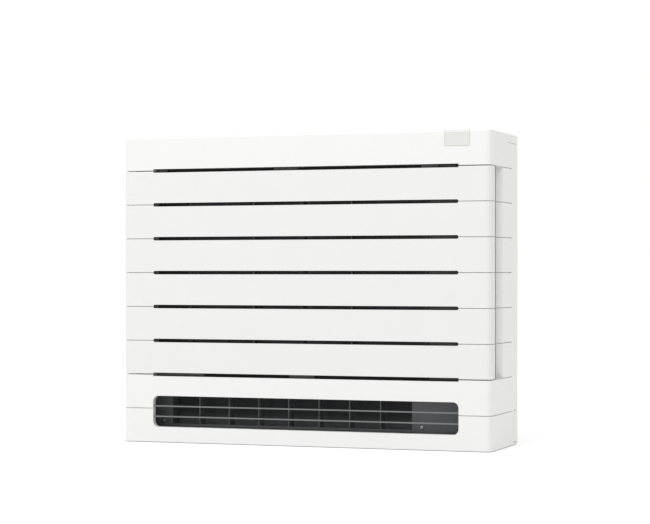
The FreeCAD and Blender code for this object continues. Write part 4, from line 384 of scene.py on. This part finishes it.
def pan_head_screw():
    """One screw, head towards -Y at the origin: domed rim, crossed slot, shank behind."""
    pick()
    bpy.ops.mesh.primitive_cylinder_add(vertices=HEAD_SIDES, radius=HEAD_RADIUS, depth=HEAD_HEIGHT,
                                        location=(0, HEAD_HEIGHT / 2, 0), rotation=(math.radians(90), 0, 0))
    head = bpy.context.object
    bpy.ops.object.transform_apply(location=True, rotation=True, scale=True)
    choose_faces(head, lambda face: face.normal.y < -FACING)
    bpy.ops.mesh.region_to_loop()
    bpy.ops.mesh.bevel(offset=HEAD_ROUNDING, segments=5, affect="EDGES")
    bpy.ops.object.mode_set(mode="OBJECT")
    choose_faces(head, lambda face: face.normal.y > FACING)
    bpy.ops.mesh.inset(thickness=SHANK_STEP)
    bpy.ops.mesh.extrude_region_move(TRANSFORM_OT_translate={"value": (0, SHANK_LENGTH, 0)})
    bpy.ops.object.mode_set(mode="OBJECT")
    for turn in (SLOT_TURN, SLOT_TURN + 90):
        pick()
        bpy.ops.mesh.primitive_cube_add(size=1, location=(0, SLOT_MIDDLE, 0),
                                        rotation=(0, math.radians(turn), 0))
        blade = bpy.context.object
        blade.scale = SLOT_BLADE
        slot_cut = head.modifiers.new("crossed_slot", "BOOLEAN")
        slot_cut.object = blade
        slot_cut.operation = "DIFFERENCE"
        slot_cut.solver = "EXACT"
        apply_modifiers(head)
        bpy.data.objects.remove(blade, do_unlink=True)
    return head


def casing_screws():
    """Six screws: four behind the panel, two in the end walls of the lower duct."""
    low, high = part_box("case_screws")
    side = high.x - HEAD_RADIUS
    spots = [(across, low.y, height) for height in PANEL_SCREWS_Z for across in (side, -side)]
    spots += [(across, DUCT_SCREWS_Y, DUCT_SCREWS_Z) for across in DUCT_SCREWS_X]
    pattern = pan_head_screw()
    copies = []
    for number, spot in enumerate(spots):
        copy = pattern.copy()
        copy.data = pattern.data.copy()
        bpy.context.collection.objects.link(copy)
        copy.location = spot
        copy.rotation_euler = (0, math.radians(SCREW_TURN * number), 0)
        copies.append(copy)
    bpy.data.objects.remove(pattern, do_unlink=True)
    pick(*copies)
    bpy.ops.object.join()
    screws = finish_piece(bpy.context.object, "pan_head_screws", "chassis", "bright_steel")
    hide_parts("case_screws")


# Painted shadow strip under the casing

def base_shadow_strip():
    """A dark strip under the casing's lower edge: painted shadow, a thin dark line along the floor."""
    casing_low, casing_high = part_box("front_casing")
    plate_low, plate_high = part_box("base_plate")
    width = casing_high.x - casing_low.x - 2 * STRIP_INSET
    depth = casing_high.y - casing_low.y - 2 * STRIP_INSET
    middle = (0, (casing_low.y + casing_high.y) / 2, plate_low.z + STRIP_CLEAR)
    pick()
    bpy.ops.mesh.primitive_plane_add(size=1, location=middle)
    strip = bpy.context.object
    strip.scale = (width, depth, 1)
    bpy.ops.object.transform_apply(location=True, rotation=True, scale=True)
    bpy.ops.object.mode_set(mode="EDIT")
    bpy.ops.mesh.select_all(action="SELECT")
    bpy.ops.mesh.bevel(offset=CASING_CORNER - STRIP_INSET, segments=8, affect="VERTICES")
    bpy.ops.mesh.select_all(action="SELECT")
    bpy.ops.mesh.inset(thickness=casing_high.x - STRIP_INSET - plate_high.x)
    bpy.ops.mesh.delete(type="FACE")
    bpy.ops.object.mode_set(mode="OBJECT")
    wall = strip.modifiers.new("wall", "SOLIDIFY")
    wall.thickness = plate_high.z - plate_low.z - 2 * STRIP_CLEAR
    wall.offset = 1
    apply_modifiers(strip)
    finish_piece(strip, "base_shadow_strip", "chassis", "base_dark")


# Net of the filters

def threads(start, length, turn, step, count):
    """A row of fine threads: one four-sided thread, upright or turned, then repeated."""
    pick()
    bpy.ops.mesh.primitive_cylinder_add(vertices=4, radius=THREAD_RADIUS, depth=1, end_fill_type="NOTHING",
                                        location=start, rotation=(0, math.radians(turn), 0))
    thread = bpy.context.object
    thread.scale = (1, 1, length)
    bpy.ops.object.transform_apply(location=True, rotation=True, scale=True)
    row = thread.modifiers.new("row", "ARRAY")
    row.use_relative_offset = False
    row.use_constant_offset = True
    row.constant_offset_displace = step
    row.count = count
    apply_modifiers(thread)
    return thread


def filter_net(side):
    """The woven net of one filter: upright threads, with level ones just behind them."""
    low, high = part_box("air_filter_" + side)
    front = low.y + NET_DEPTH
    left, right = low.x + NET_BORDER, high.x - NET_BORDER
    bottom, top = low.z + NET_BORDER, high.z - NET_BORDER
    width, height = right - left, top - bottom
    first_upright = (left + NET_MESH / 2, front, (bottom + top) / 2)
    first_level = ((left + right) / 2, front + NET_WEAVE, bottom + NET_MESH / 2)
    upright = threads(first_upright, height, 0, (NET_MESH, 0, 0), int(width / NET_MESH))
    level = threads(first_level, width, 90, (0, 0, NET_MESH), int(height / NET_MESH))
    pick(upright, level)
    bpy.ops.object.join()
    finish_piece(bpy.context.object, "filter_net_" + side, "chassis", "mesh_black")


casing_screws()
base_shadow_strip()
filter_net("left")
filter_net("right")


# Floor, light and camera

def pale_floor():
    """A pale matt floor that glows a little, so that shadows on it stay faint."""
    pick()
    bpy.ops.mesh.primitive_plane_add(size=FLOOR_SIDE, location=(0, 0, -FLOOR_DROP))
    floor = bpy.context.object
    floor.name = "floor"
    paint, tree, place = new_finish("pale_matt_floor")
    darkest, lightest = FLOOR_TONES
    cloud = add(tree, "TexNoise", {"Vector": place, "Scale": per_metre(FLOOR_CLOUD_MM), "Detail": 2.0})
    tone = add(tree, "MapRange", {"Value": cloud.outputs["Fac"], "To Min": darkest, "To Max": lightest})
    shader = add(tree, "BsdfPrincipled", {"Base Color": tone.outputs["Result"], "Roughness": FLOOR_ROUGHNESS,
                                          "Emission Color": WHITE, "Emission Strength": FLOOR_GLOW})
    add(tree, "OutputMaterial", {"Surface": shader.outputs["BSDF"]})
    floor.data.materials.append(paint)


def white_room():
    """Even white light from all round, with colours shown as they are."""
    scene = bpy.context.scene
    scene.world = bpy.data.worlds.new("white_room")
    scene.world.use_nodes = True
    light = scene.world.node_tree.nodes["Background"]
    light.inputs["Color"].default_value = WHITE
    light.inputs["Strength"].default_value = 1.0
    scene.view_settings.view_transform = "Standard"


def soft_lamp():
    """One large soft lamp, high up, ahead of the unit and a little to the left."""
    lamp = bpy.data.lights.new("soft_lamp", "AREA")
    lamp.shape = "RECTANGLE"
    lamp.size = LAMP_SIDE
    lamp.size_y = LAMP_SIDE
    lamp.energy = LAMP_POWER
    holder = bpy.data.objects.new("soft_lamp", lamp)
    bpy.context.scene.collection.objects.link(holder)
    holder.location = LAMP_PLACE
    aim = Vector(LAMP_AIM) - holder.location
    holder.rotation_euler = aim.to_track_quat("-Z", "Y").to_euler()


def photo_view():
    """The camera, at the place and with the lens that were fitted to the photo."""
    camera = bpy.data.cameras.new("photo_view")
    camera.sensor_width = FILM_WIDTH
    camera.lens = LENS
    camera.clip_end = FARTHEST_SEEN
    eye = bpy.data.objects.new("photo_view", camera)
    bpy.context.scene.collection.objects.link(eye)
    eye.location = EYE_PLACE
    eye.rotation_euler = (math.radians(EYE_TILT), 0, math.radians(EYE_TURN))
    bpy.context.scene.camera = eye


pale_floor()
white_room()
soft_lamp()
photo_view()
